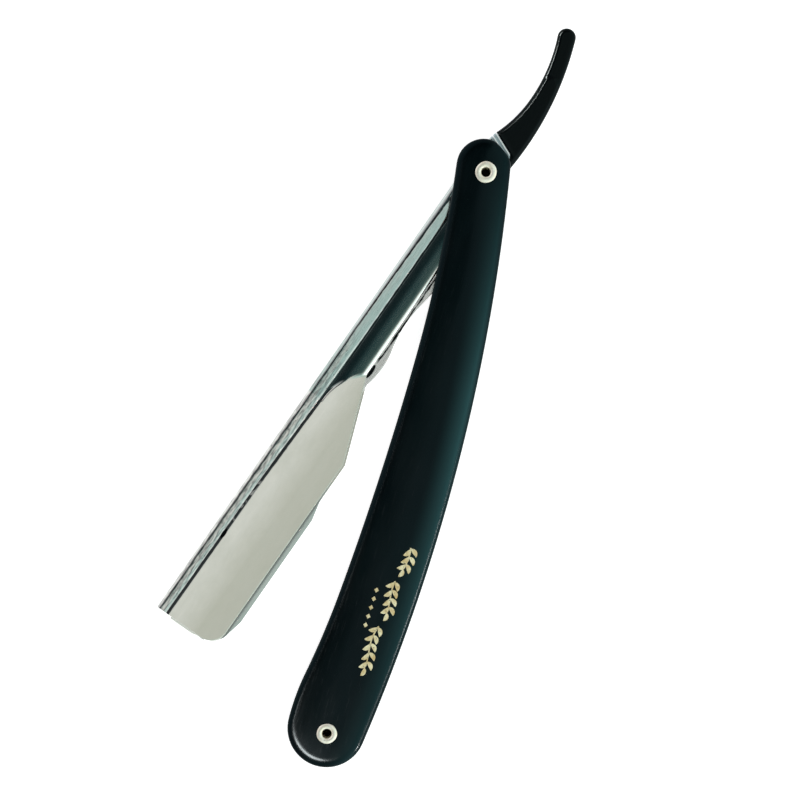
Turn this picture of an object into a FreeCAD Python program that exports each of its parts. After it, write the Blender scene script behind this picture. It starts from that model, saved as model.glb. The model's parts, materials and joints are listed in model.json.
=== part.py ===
import FreeCAD, Part
import math
import os
import Sketcher

# A barber's straight razor that takes half of a double-edge blade, lying flat and part open.
# +Z is up through the front scale, +X runs from the pivot eyelet to the butt eyelet, and +Y is
# towards the convex back of the scales. The origin is on the pivot axis, midway between the scales.
# The folded blade holder swings in the gap between the scales. Its own pieces are drawn in the
# holder's plane: u along the spine towards the toe, v towards the cutting edge, w across.

SIZES = {
    # scales: two flat plates of one outline, made of eight tangent arcs
    "scale_thick": 2.3,
    "scale_gap": 3.2,
    "scale_edge_round": 1.0,
    "scale_inner_edge": 0.25,
    "eyelet_spacing": 127.7,
    "pivot_end_x": -1.3,
    "pivot_end_y": -0.87,
    "pivot_end_radius": 5.93,
    "butt_end_x": 126.65,
    "butt_end_y": -0.38,
    "butt_end_radius": 8.6,
    "back_radius": 420.0,
    "hollow_x": 44.0,
    "hollow_y": -3.75,
    "hollow_radius": 700.0,
    "flare_x": 98.0,
    "flare_radius": 190.0,
    "heel_radius": 50.0,
    # tubular eyelets, their clinch washers and the pieces on them
    "eyelet_bore_radius": 1.05,
    "eyelet_barrel_radius": 1.45,
    "pivot_flange_radius": 2.42,
    "butt_flange_radius": 2.28,
    "flange_high": 0.48,
    "flange_rim": 0.12,
    "rear_flange_inset": 0.05,
    "barrel_fit": 0.05,
    "clinch_washer_radius": 2.9,
    "clinch_washer_thick": 0.3,
    "counterbore_radius": 3.0,
    "butt_spacer_radius": 3.2,
    "pivot_washer_radius": 3.4,
    "pivot_washer_thick": 0.4,
    # blade holder: one sheet folded over a rolled spine bead
    "opening_angle": 19.14,
    "tang_thick": 2.2,
    "tang_back_u": -1.5,
    "tang_heel_u": -4.2,
    "tang_heel_v": -4.35,
    "tang_tail_v": -3.25,
    "bush_radius": 2.1,
    "bush_fit": 0.1,
    "spine_v": -4.6,
    "bead_start_u": 4.0,
    "bead_pressed_end_u": 45.0,
    "bead_pressed_half_width": 1.9,
    "bead_pressed_half_thick": 1.3,
    "bead_round_start_u": 49.0,
    "bead_round_half_width": 1.88,
    "bead_round_half_thick": 1.72,
    "bead_waist_u": 80.0,
    "bead_waist_half_width": 1.5,
    "bead_waist_half_thick": 1.44,
    "bead_toe_half_width": 1.38,
    "bead_toe_half_thick": 1.34,
    "bead_hollow_radius": 0.8,
    "bead_hollow_length": 70.0,
    "toe_u": 119.4,
    "toe_corner_radius": 3.9,
    "tang_front_u": 13.0,
    "shank_edge_v": 4.05,
    "shank_start_u": 10.0,
    "shank_root_v": -3.1,
    "valley_v": -0.9,
    "valley_half_thick": 0.85,
    "ridge_v": 3.4,
    "ridge_half_thick": 1.25,
    "shank_lip_half_thick": 0.9,
    "sweep_start_u": 51.3,
    "sweep_end_u": 61.5,
    "sweep_end_v": -0.95,
    "sweep_overlap": 0.3,
    "kink_u": 54.5,
    "kink_v": 5.3,
    "shoulder_u": 70.4,
    "leaf_edge_v": 11.15,
    "rear_leaf_reveal": 0.35,
    "leaf_crease_v": -1.8,
    "leaf_crease_half_thick": 1.15,
    "leaf_root_v": -2.8,
    "leaf_taper_start_u": 51.8,
    "leaf_taper_end_v": 12.15,
    "leaf_edge_half_thick": 0.85,
    "slot_thick": 0.9,
    "slot_inner_v": -0.9,
    "slot_heel_u": 20.5,
    "dimple_u": 97.5,
    "dimple_v": -1.9,
    "dimple_radius": 0.55,
    "dimple_deep": 0.5,
    # tail: a flat tongue of the holder inside a moulded finger-rest sleeve
    "tail_crest_u": -10.0,
    "tail_crest_v": 4.18,
    "tail_top_radius": 70.0,
    "tail_waist_u": -19.0,
    "tail_waist_v": -1.24,
    "tail_neck_radius": 28.0,
    "tail_tip_u": -34.6,
    "tail_tip_radius": 2.03,
    "sleeve_mouth_top_u": -3.5,
    "sleeve_mouth_top_v": 3.87,
    "sleeve_mouth_bend_u": -6.45,
    "sleeve_mouth_bend_v": 2.0,
    "sleeve_mouth_low_u": -8.7,
    "sleeve_thick": 2.6,
    "sleeve_edge_round": 0.85,
    "sleeve_wall": 0.75,
    "tongue_thick": 1.2,
    "tongue_root_u": -4.6,
    "tongue_end_u": -24.0,
    # slide-out blade carrier, its locating pins and the half blade
    "carrier_thick": 0.7,
    "carrier_slot_thick": 0.2,
    "carrier_inner_v": -0.75,
    "carrier_heel_u": 21.5,
    "carrier_heel_v": 6.6,
    "carrier_waist_u": 33.0,
    "carrier_waist_v": 4.85,
    "carrier_hump_u": 44.0,
    "carrier_hump_v": 5.55,
    "carrier_hump_end_u": 53.0,
    "carrier_hump_end_v": 5.35,
    "carrier_hump_bow": 0.55,
    "carrier_foot_u": 56.5,
    "carrier_foot_v": 5.6,
    "carrier_shoulder_u": 71.6,
    "carrier_shoulder_v": 11.05,
    "carrier_lip_start_u": 78.0,
    "carrier_lip_start_v": 11.4,
    "carrier_lip_full_u": 82.0,
    "carrier_lip_end_u": 114.5,
    "carrier_edge_v": 11.65,
    "carrier_toe_bow": 1.35,
    "carrier_toe_top_u": 119.3,
    "carrier_toe_top_v": 7.6,
    "carrier_toe_u": 119.9,
    "carrier_toe_v": 5.0,
    "blade_centre_u": 98.1,
    "blade_end_play": 0.4,
    "blade_slot_spare": 0.1,
    "blade_tab_length": 43.0,
    "blade_edge_length": 37.4,
    "blade_width": 11.0,
    "blade_tab_width": 6.5,
    "blade_thick": 0.1,
    "blade_edge_v": 12.45,
    "blade_corner_ease_u": 5.0,
    "blade_corner_ease_v": 1.1,
    "notch_radius": 1.5,
    "notch_spacing": 21.0,
    "locating_pin_radius": 1.3,
    # how far a cutting sketch runs past the solid that it cuts
    "overrun": 2.0,
}

Z_AXIS = FreeCAD.Vector(0, 0, 1)
SAME_PLANE = 1e-4
LEAST_CUT = 1e-6

doc = FreeCAD.newDocument("straight_razor")
sheet = doc.addObject("Spreadsheet::Sheet", "Sizes")
for row, (alias, number) in enumerate(SIZES.items(), start=1):
    sheet.set("A%d" % row, alias)
    sheet.set("B%d" % row, str(number))
    sheet.setAlias("B%d" % row, alias)
doc.recompute()


def size(name):
    """The number in the sheet's cell of that name."""
    return float(sheet.get(name))


def point(x, y):
    return FreeCAD.Vector(x, y, 0)


def sized_point(name):
    """The point whose two numbers are in the sheet as name_u and name_v."""
    return point(size(name + "_u"), size(name + "_v"))


def meet(centre_a, reach_a, centre_b, reach_b, left):
    """The point at reach_a from centre_a and reach_b from centre_b, left or right of the line a to b."""
    across = centre_b - centre_a
    gap = across.Length
    along = (reach_a ** 2 - reach_b ** 2 + gap ** 2) / (2 * gap)
    aside = math.sqrt(max(reach_a ** 2 - along ** 2, 0.0))
    across.normalize()
    sideways = point(-across.y, across.x) * (aside if left else -aside)
    return centre_a + across * along + sideways


def toward(start, goal, distance):
    """The point at that distance from start, on the line to goal."""
    step = goal - start
    step.normalize()
    return start + step * distance


def on_circle(centre, radius, x):
    """The upper point of a circle at that x."""
    return point(x, centre.y + math.sqrt(radius ** 2 - (x - centre.x) ** 2))


# ---- sketches and features -------------------------------------------------------------------

def new_body(label):
    body = doc.addObject("PartDesign::Body", label)
    body.Label = label
    return body


def new_sketch(body, name, role, offset=None):
    """A sketch on one of the body's own planes, moved along its normal by an expression."""
    sketch = body.newObject("Sketcher::SketchObject", name)
    plane = [item for item in body.Origin.OriginFeatures if item.Role == role][0]
    sketch.AttachmentSupport = [(plane, "")]
    sketch.MapMode = "FlatFace"
    if offset:
        sketch.setExpression("AttachmentOffset.Base.z", offset)
    doc.recompute()
    return sketch


def bind(sketch, constraint, expression):
    index = sketch.addConstraint(constraint)
    sketch.setExpression("Constraints[%d]" % index, expression)


def line(end, bound=None, smooth=False):
    """A straight step of an outline; bound names the expressions of its end's x and y."""
    return {"end": end, "bound": bound, "smooth": smooth}


def arc(end, centre, turn, radius=None, bound=None, smooth=True):
    """A round step about centre; turn is +1 to the left and -1 to the right of travel."""
    return {"end": end, "centre": centre, "turn": turn, "radius": radius, "bound": bound, "smooth": smooth}


def trace(sketch, start, steps):
    """Draws a closed outline: each step starts where the one before it ends."""
    drawn = []
    here = start
    for step in steps:
        there = step["end"]
        if "centre" in step:
            centre = step["centre"]
            circle = Part.Circle(centre, Z_AXIS, (here - centre).Length)
            first = math.atan2(here.y - centre.y, here.x - centre.x)
            last = math.atan2(there.y - centre.y, there.x - centre.x)
            if step["turn"] > 0:
                geometry = sketch.addGeometry(Part.ArcOfCircle(circle, first, last), False)
                drawn.append((geometry, 1, 2))
            else:
                geometry = sketch.addGeometry(Part.ArcOfCircle(circle, last, first), False)
                drawn.append((geometry, 2, 1))
        else:
            geometry = sketch.addGeometry(Part.LineSegment(here, there), False)
            drawn.append((geometry, 1, 2))
        here = there
    for index, step in enumerate(steps):
        geometry, entry, leave = drawn[index]
        following, next_entry, next_leave = drawn[(index + 1) % len(drawn)]
        joint = "Tangent" if step["smooth"] else "Coincident"
        sketch.addConstraint(Sketcher.Constraint(joint, geometry, leave, following, next_entry))
        if step.get("radius"):
            radius = (step["end"] - step["centre"]).Length
            bind(sketch, Sketcher.Constraint("Radius", geometry, radius), step["radius"])
        if step["bound"]:
            along, up = step["bound"]
            if along:
                bind(sketch, Sketcher.Constraint("DistanceX", -1, 1, geometry, leave, step["end"].x), along)
            if up:
                bind(sketch, Sketcher.Constraint("DistanceY", -1, 1, geometry, leave, step["end"].y), up)
    return drawn


def add_circle(sketch, x, y, radius, names):
    """A circle whose centre and radius follow three expressions; an empty one leaves it on the axis."""
    along, up, reach = names
    geometry = sketch.addGeometry(Part.Circle(point(x, y), Z_AXIS, radius), False)
    bind(sketch, Sketcher.Constraint("Radius", geometry, radius), reach)
    if along:
        bind(sketch, Sketcher.Constraint("DistanceX", -1, 1, geometry, 3, x), along)
    if up:
        bind(sketch, Sketcher.Constraint("DistanceY", -1, 1, geometry, 3, y), up)
    if not along and not up:
        sketch.addConstraint(Sketcher.Constraint("Coincident", geometry, 3, -1, 1))
    elif not up:
        sketch.addConstraint(Sketcher.Constraint("PointOnObject", geometry, 3, -1))
    elif not along:
        sketch.addConstraint(Sketcher.Constraint("PointOnObject", geometry, 3, -2))


def polygon(sketch, corners):
    """A closed polygon; each corner is (x, y) with expressions or plain numbers for its places."""
    places = []
    for corner in corners:
        places.append(point(*[size(part) if isinstance(part, str) else part for part in corner]))
    steps = []
    for corner, place in zip(corners[1:] + corners[:1], places[1:] + places[:1]):
        bound = ["Sizes." + part if isinstance(part, str) else None for part in corner]
        steps.append(line(place, bound))
    trace(sketch, places[0], steps)


def pad(body, sketch, name, length, midplane=False):
    feature = body.newObject("PartDesign::Pad", name)
    feature.Profile = sketch
    feature.setExpression("Length", length)
    feature.Midplane = midplane
    doc.recompute()
    return feature


def pocket(body, sketch, name, length=None, midplane=False, reverse=False):
    """Cuts a sketch through everything, or to a length, and makes sure that it took something away."""
    before = body.Shape.Volume
    feature = body.newObject("PartDesign::Pocket", name)
    feature.Profile = sketch
    feature.Midplane = midplane
    feature.Reversed = reverse
    if length:
        feature.setExpression("Length", length)
    else:
        feature.Type = "ThroughAll"
    doc.recompute()
    if body.Shape.Volume > before - LEAST_CUT:
        raise RuntimeError(name + " cuts nothing")
    return feature


def round_edges_at(shape, level):
    """Names of the curved edges that lie in the plane z = level."""
    names = []
    for index, edge in enumerate(shape.Edges, start=1):
        box = edge.BoundBox
        flat = abs(box.ZMin - level) < SAME_PLANE and abs(box.ZMax - level) < SAME_PLANE
        if flat and isinstance(edge.Curve, Part.Circle):
            names.append("Edge%d" % index)
    return names


def dress(body, kind, name, base, edges, amount_name, amount):
    feature = body.newObject("PartDesign::" + kind, name)
    feature.Base = (base, edges)
    feature.setExpression(amount_name, amount)
    doc.recompute()
    return feature


REAR_FACE_Z = "-Sizes.scale_gap / 2 - Sizes.scale_thick"


# ---- the scales ------------------------------------------------------------------------------

def scale_outline(sketch):
    """Back arc, round ends, and a hollow edge that flares out to the heel of the butt."""
    pivot_end = point(size("pivot_end_x"), size("pivot_end_y"))
    pivot_radius = size("pivot_end_radius")
    butt_end = point(size("butt_end_x"), size("butt_end_y"))
    butt_radius = size("butt_end_radius")
    back_radius = size("back_radius")
    back = meet(pivot_end, back_radius - pivot_radius, butt_end, back_radius - butt_radius, False)
    back_at_pivot = toward(back, pivot_end, back_radius)
    back_at_butt = toward(back, butt_end, back_radius)

    hollow_top = point(size("hollow_x"), size("hollow_y"))
    reach = hollow_top.x - pivot_end.x
    drop = pivot_end.y - hollow_top.y
    neck_radius = (reach ** 2 + drop ** 2 - pivot_radius ** 2) / (2 * (pivot_radius - drop))
    neck = point(hollow_top.x, hollow_top.y - neck_radius)
    neck_at_pivot = toward(pivot_end, neck, pivot_radius)

    hollow = point(hollow_top.x, hollow_top.y - size("hollow_radius"))
    flare_start = on_circle(hollow, size("hollow_radius"), size("flare_x"))
    flare = toward(flare_start, hollow, size("flare_radius"))
    heel_radius = size("heel_radius")
    heel = meet(flare, size("flare_radius") + heel_radius, butt_end, heel_radius - butt_radius, True)
    heel_start = toward(flare, heel, size("flare_radius"))
    heel_end = toward(heel, butt_end, heel_radius)

    steps = [
        arc(neck_at_pivot, pivot_end, 1, "Sizes.pivot_end_radius"),
        arc(hollow_top, neck, -1, None, ("Sizes.hollow_x", "Sizes.hollow_y")),
        arc(flare_start, hollow, -1, "Sizes.hollow_radius", ("Sizes.flare_x", None)),
        arc(heel_start, flare, -1, "Sizes.flare_radius"),
        arc(heel_end, heel, 1, "Sizes.heel_radius"),
        arc(back_at_butt, butt_end, 1, "Sizes.butt_end_radius"),
        arc(back_at_pivot, back, 1, "Sizes.back_radius"),
    ]
    drawn = trace(sketch, back_at_pivot, steps)
    for index, x_name, y_name in ((0, "pivot_end_x", "pivot_end_y"), (5, "butt_end_x", "butt_end_y")):
        geometry = drawn[index][0]
        bind(sketch, Sketcher.Constraint("DistanceX", -1, 1, geometry, 3, size(x_name)), "Sizes." + x_name)
        bind(sketch, Sketcher.Constraint("DistanceY", -1, 1, geometry, 3, size(y_name)), "Sizes." + y_name)


def eyelet_circles(sketch, radius_name, radius_extra=""):
    """One circle on the pivot axis and one on the butt eyelet's."""
    radius = size(radius_name) + (size(radius_extra) if radius_extra else 0.0)
    expression = "Sizes." + radius_name + (" + Sizes." + radius_extra if radius_extra else "")
    add_circle(sketch, 0.0, 0.0, radius, (None, None, expression))
    add_circle(sketch, size("eyelet_spacing"), 0.0, radius, ("Sizes.eyelet_spacing", None, expression))


def make_scale(label, front):
    body = new_body(label)
    outline = new_sketch(body, label + "_outline", "XY_Plane")
    scale_outline(outline)
    plate = pad(body, outline, label + "_plate", "Sizes.scale_thick")
    thick = size("scale_thick")
    outer, inner = (thick, 0.0) if front else (0.0, thick)
    rounded = dress(body, "Fillet", label + "_rounded", plate, round_edges_at(plate.Shape, outer),
                    "Radius", "Sizes.scale_edge_round")
    dress(body, "Chamfer", label + "_eased", rounded, round_edges_at(rounded.Shape, inner),
          "Size", "Sizes.scale_inner_edge")
    holes = new_sketch(body, label + "_holes", "XY_Plane")
    eyelet_circles(holes, "eyelet_barrel_radius", "barrel_fit")
    pocket(body, holes, label + "_bores", reverse=True)
    if front:
        body.setExpression("Placement.Base.z", "Sizes.scale_gap / 2")
    else:
        body.setExpression("Placement.Base.z", REAR_FACE_Z)
        recess = new_sketch(body, label + "_recess", "XY_Plane")
        eyelet_circles(recess, "counterbore_radius")
        depth = "Sizes.rear_flange_inset + Sizes.flange_high + Sizes.clinch_washer_thick"
        pocket(body, recess, label + "_counterbores", depth, reverse=True)
    return body


# ---- eyelets, washers, spacer and bush -------------------------------------------------------

def make_ring(label, inner, outer, height, x_name, z_expression):
    """A flat ring: inner and outer are radius expressions with their numbers."""
    body = new_body(label)
    sketch = new_sketch(body, label + "_rings", "XY_Plane")
    add_circle(sketch, 0.0, 0.0, inner[0], (None, None, inner[1]))
    add_circle(sketch, 0.0, 0.0, outer[0], (None, None, outer[1]))
    pad(body, sketch, label + "_pad", height)
    if x_name:
        body.setExpression("Placement.Base.x", "Sizes." + x_name)
    body.setExpression("Placement.Base.z", z_expression)
    return body


def make_eyelet(label, flange_name, x_name):
    """A hollow rivet: a barrel with a curled flange at each end, turned about +Z."""
    body = new_body(label)
    sketch = new_sketch(body, label + "_section", "XZ_Plane")
    bore = size("eyelet_bore_radius")
    barrel = size("eyelet_barrel_radius")
    flange = size(flange_name)
    rim = size("flange_rim")
    high = size("flange_high")
    base = size("rear_flange_inset")
    seat_low = base + high
    seat_high = 2 * size("scale_thick") + size("scale_gap")
    top = seat_high + high

    def curl(inner, outer, crest):
        """Centre of the arc over the flange, from its two feet and the height of its crest."""
        middle = (inner + outer) / 2
        crown = point(middle.x, crest)
        half = (outer - inner).Length / 2
        rise = abs(crest - middle.y)
        radius = (half ** 2 + rise ** 2) / (2 * rise)
        return toward(crown, middle, radius)

    front_inner = point(bore, seat_high + rim)
    front_outer = point(flange, seat_high + rim)
    rear_inner = point(bore, seat_low - rim)
    rear_outer = point(flange, seat_low - rim)
    front_curl = curl(front_inner, front_outer, top)
    rear_curl = curl(rear_inner, rear_outer, base)
    steps = [
        line(front_inner),
        arc(front_outer, front_curl, -1, smooth=False),
        line(point(flange, seat_high)),
        line(point(barrel, seat_high)),
        line(point(barrel, seat_low)),
        line(point(flange, seat_low)),
        line(rear_outer),
        arc(rear_inner, rear_curl, -1, smooth=False),
    ]
    drawn = trace(sketch, rear_inner, steps)
    reaches = {0: "Sizes.eyelet_bore_radius", 2: "Sizes." + flange_name, 4: "Sizes.eyelet_barrel_radius"}
    for index, expression in reaches.items():
        geometry, entry, leave = drawn[index]
        sketch.addConstraint(Sketcher.Constraint("Vertical", geometry))
        place = sketch.getPoint(geometry, leave)
        bind(sketch, Sketcher.Constraint("DistanceX", -1, 1, geometry, leave, place.x), expression)
    revolution = body.newObject("PartDesign::Revolution", label + "_turned")
    revolution.Profile = sketch
    revolution.ReferenceAxis = (sketch, ["V_Axis"])
    revolution.Angle = 360
    if x_name:
        body.setExpression("Placement.Base.x", "Sizes." + x_name)
    body.setExpression("Placement.Base.z", REAR_FACE_Z)
    doc.recompute()
    return body


# ---- the blade holder ------------------------------------------------------------------------

def place_in_holder(body):
    """Turns a body about the pivot to the part-open rest position."""
    turn = FreeCAD.Rotation(Z_AXIS, 1.0)
    body.Placement = FreeCAD.Placement(FreeCAD.Vector(0, 0, 0), turn)
    body.setExpression("Placement.Rotation.Angle", "-Sizes.opening_angle")


def tail_curves(inset):
    """Circles of the tail's crest, neck, underside and tip, the first three moved in by inset.

    The underside starts at the waist and runs out into the tip's circle without a corner.
    """
    top_radius = size("tail_top_radius")
    tip_radius = size("tail_tip_radius")
    crest = point(size("tail_crest_u"), size("tail_crest_v") - top_radius)
    waist = sized_point("tail_waist")
    neck_radius = size("tail_neck_radius")
    tip = on_circle(crest, top_radius - tip_radius, size("tail_tip_u"))
    reach = tip.x - waist.x
    drop = waist.y - tip.y
    under_radius = (reach ** 2 + drop ** 2 - tip_radius ** 2) / (2 * (tip_radius + drop))
    return {
        "top": (crest, top_radius - inset),
        "neck": (point(waist.x, waist.y - neck_radius), neck_radius + inset),
        "under": (point(waist.x, waist.y - under_radius), under_radius + inset),
        "waist": point(waist.x, waist.y + inset),
        "tip": tip,
    }


def sleeve_outline(sketch):
    """The whole finger rest: slanted mouth with a lobe on its crest, round tip, hollow underside and neck."""
    curves = tail_curves(0.0)
    top, top_radius = curves["top"]
    under, under_radius = curves["under"]
    neck, neck_radius = curves["neck"]
    tip = curves["tip"]
    mouth_top = on_circle(top, top_radius, size("sleeve_mouth_top_u"))
    mouth_low = on_circle(neck, neck_radius, size("sleeve_mouth_low_u"))
    mouth_bend = sized_point("sleeve_mouth_bend")
    tip_top = toward(top, tip, top_radius)
    tip_low = toward(under, tip, under_radius)
    waist_names = ("Sizes.tail_waist_u", "Sizes.tail_waist_v")
    steps = [
        arc(tip_top, top, 1, "Sizes.tail_top_radius"),
        arc(tip_low, tip, 1, "Sizes.tail_tip_radius"),
        arc(curves["waist"], under, -1, None, waist_names),
        arc(mouth_low, neck, -1, "Sizes.tail_neck_radius", ("Sizes.sleeve_mouth_low_u", None), smooth=False),
        line(mouth_bend, ("Sizes.sleeve_mouth_bend_u", "Sizes.sleeve_mouth_bend_v")),
        line(mouth_top, ("Sizes.sleeve_mouth_top_u", None)),
    ]
    trace(sketch, mouth_top, steps)


def tongue_outline(sketch):
    """The holder's tongue inside the sleeve, one wall in from it, with a round end."""
    curves = tail_curves(size("sleeve_wall"))
    top, top_radius = curves["top"]
    under, under_radius = curves["under"]
    neck, neck_radius = curves["neck"]
    root_u = size("tongue_root_u")
    root_top = on_circle(top, top_radius, root_u)
    root_low = on_circle(neck, neck_radius, root_u)
    end_top = on_circle(top, top_radius, size("tongue_end_u"))
    end_low = on_circle(under, under_radius, size("tongue_end_u"))
    steps = [
        arc(end_top, top, 1, smooth=False),
        arc(end_low, (end_top + end_low) / 2, 1, smooth=False),
        arc(curves["waist"], under, -1, smooth=False),
        arc(root_low, neck, -1, smooth=False),
        line(root_top),
    ]
    trace(sketch, root_top, steps)


def head_outline(sketch):
    """Both leaves of the head, seen square on: swept front, kink, straight shoulder and round toe."""
    reveal = size("rear_leaf_reveal")
    edge_v = size("leaf_edge_v") + reveal
    toe_radius = size("toe_corner_radius") + reveal
    toe_u = size("toe_u")
    sweep_top = point(size("sweep_start_u"), size("shank_edge_v"))
    sweep_low = point(size("sweep_end_u"), size("sweep_end_v"))
    # the sweep meets the crease without a corner: its centre is straight above its low end
    rise = sweep_top.y - sweep_low.y
    reach = sweep_low.x - sweep_top.x
    sweep_radius = (reach ** 2 + rise ** 2) / (2 * rise)
    sweep = point(sweep_low.x, sweep_low.y + sweep_radius)
    spine_side = point(toe_u, size("leaf_root_v"))
    corner = point(toe_u - toe_radius, edge_v - toe_radius)
    steps = [
        line(point(sweep_low.x, spine_side.y)),
        line(spine_side),
        line(point(toe_u, corner.y)),
        arc(point(corner.x, edge_v), corner, 1),
        line(point(size("shoulder_u"), edge_v)),
        line(point(size("kink_u"), size("kink_v") + reveal)),
        line(sweep_top),
        arc(sweep_low, sweep, 1, smooth=False),
    ]
    trace(sketch, sweep_low, steps)


def sweep_cut(sketch):
    """Everything of the shank in front of the sweep, so that the head's flat leaves start there."""
    overlap = size("sweep_overlap")
    edge = point(size("sweep_start_u") + overlap, size("shank_edge_v"))
    low = point(size("sweep_end_u") + overlap, size("sweep_end_v"))
    rise = edge.y - low.y
    reach = low.x - edge.x
    centre = point(low.x, low.y + (reach ** 2 + rise ** 2) / (2 * rise))
    top_v = edge.y + size("overrun")
    floor_v = size("spine_v")
    far_u = size("sweep_end_u") + 2 * size("overrun")
    steps = [
        arc(low, centre, 1, smooth=False),
        line(point(low.x, floor_v)),
        line(point(far_u, floor_v)),
        line(point(far_u, top_v)),
        line(point(edge.x, top_v)),
        line(edge),
    ]
    trace(sketch, edge, steps)


def reveal_strip(sketch):
    """The strip by which the rear leaf stands out past the front leaf, along shoulder and edge."""
    reveal = size("rear_leaf_reveal")
    edge_v = size("leaf_edge_v")
    toe_radius = size("toe_corner_radius")
    toe_u = size("toe_u")
    corner = point(toe_u - toe_radius, edge_v - toe_radius)
    beyond = size("overrun")
    steps = [
        line(point(size("shoulder_u"), edge_v)),
        line(point(corner.x, edge_v)),
        arc(point(toe_u, corner.y), corner, -1, smooth=False),
        line(point(toe_u + beyond, corner.y)),
        line(point(toe_u + beyond, edge_v + beyond)),
        line(point(size("shoulder_u") - beyond, edge_v + beyond)),
        line(point(size("kink_u") - beyond, size("kink_v") + reveal + beyond)),
        line(point(size("kink_u"), size("kink_v"))),
    ]
    trace(sketch, point(size("kink_u"), size("kink_v")), steps)


def bead_section(sketch, half_width, half_thick):
    """A flattened round: two half circles joined by two short straights, with its back on the spine line."""
    radius = size(half_thick)
    back = size("spine_v") + radius
    front = size("spine_v") + 2 * size(half_width) - radius
    steps = [
        arc(point(back, -radius), point(back, 0), 1, "Sizes." + half_thick),
        line(point(front, -radius), smooth=True),
        arc(point(front, radius), point(front, 0), 1),
        line(point(back, radius), smooth=True),
    ]
    drawn = trace(sketch, point(back, radius), steps)
    sketch.addConstraint(Sketcher.Constraint("Horizontal", drawn[1][0]))
    bind(sketch, Sketcher.Constraint("DistanceX", -1, 1, drawn[0][0], 3, back),
         "Sizes.spine_v + Sizes." + half_thick)
    bind(sketch, Sketcher.Constraint("DistanceX", drawn[0][0], 3, drawn[2][0], 3, front - back),
         "2 * (Sizes.%s - Sizes.%s)" % (half_width, half_thick))
    sketch.addConstraint(Sketcher.Constraint("PointOnObject", drawn[0][0], 3, -1))


def add_bead(body):
    """The rolled spine: pressed thin where it folds in between the scales, then round and tapering.

    Where it is round it is thicker than the scales' gap, so it rests on their edges when closed.
    """
    sections = []
    for name, u_name, shape in (
        ("bead_at_tang", "bead_start_u", "bead_pressed"),
        ("bead_pressed_end", "bead_pressed_end_u", "bead_pressed"),
        ("bead_round_start", "bead_round_start_u", "bead_round"),
        ("bead_at_waist", "bead_waist_u", "bead_waist"),
        ("bead_at_toe", "toe_u", "bead_toe"),
    ):
        sketch = new_sketch(body, name, "YZ_Plane", "Sizes." + u_name)
        bead_section(sketch, shape + "_half_width", shape + "_half_thick")
        sections.append(sketch)
    loft = body.newObject("PartDesign::AdditiveLoft", "spine_bead")
    loft.Profile = sections[0]
    loft.Sections = sections[1:]
    loft.Ruled = True
    doc.recompute()
    return loft


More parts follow.
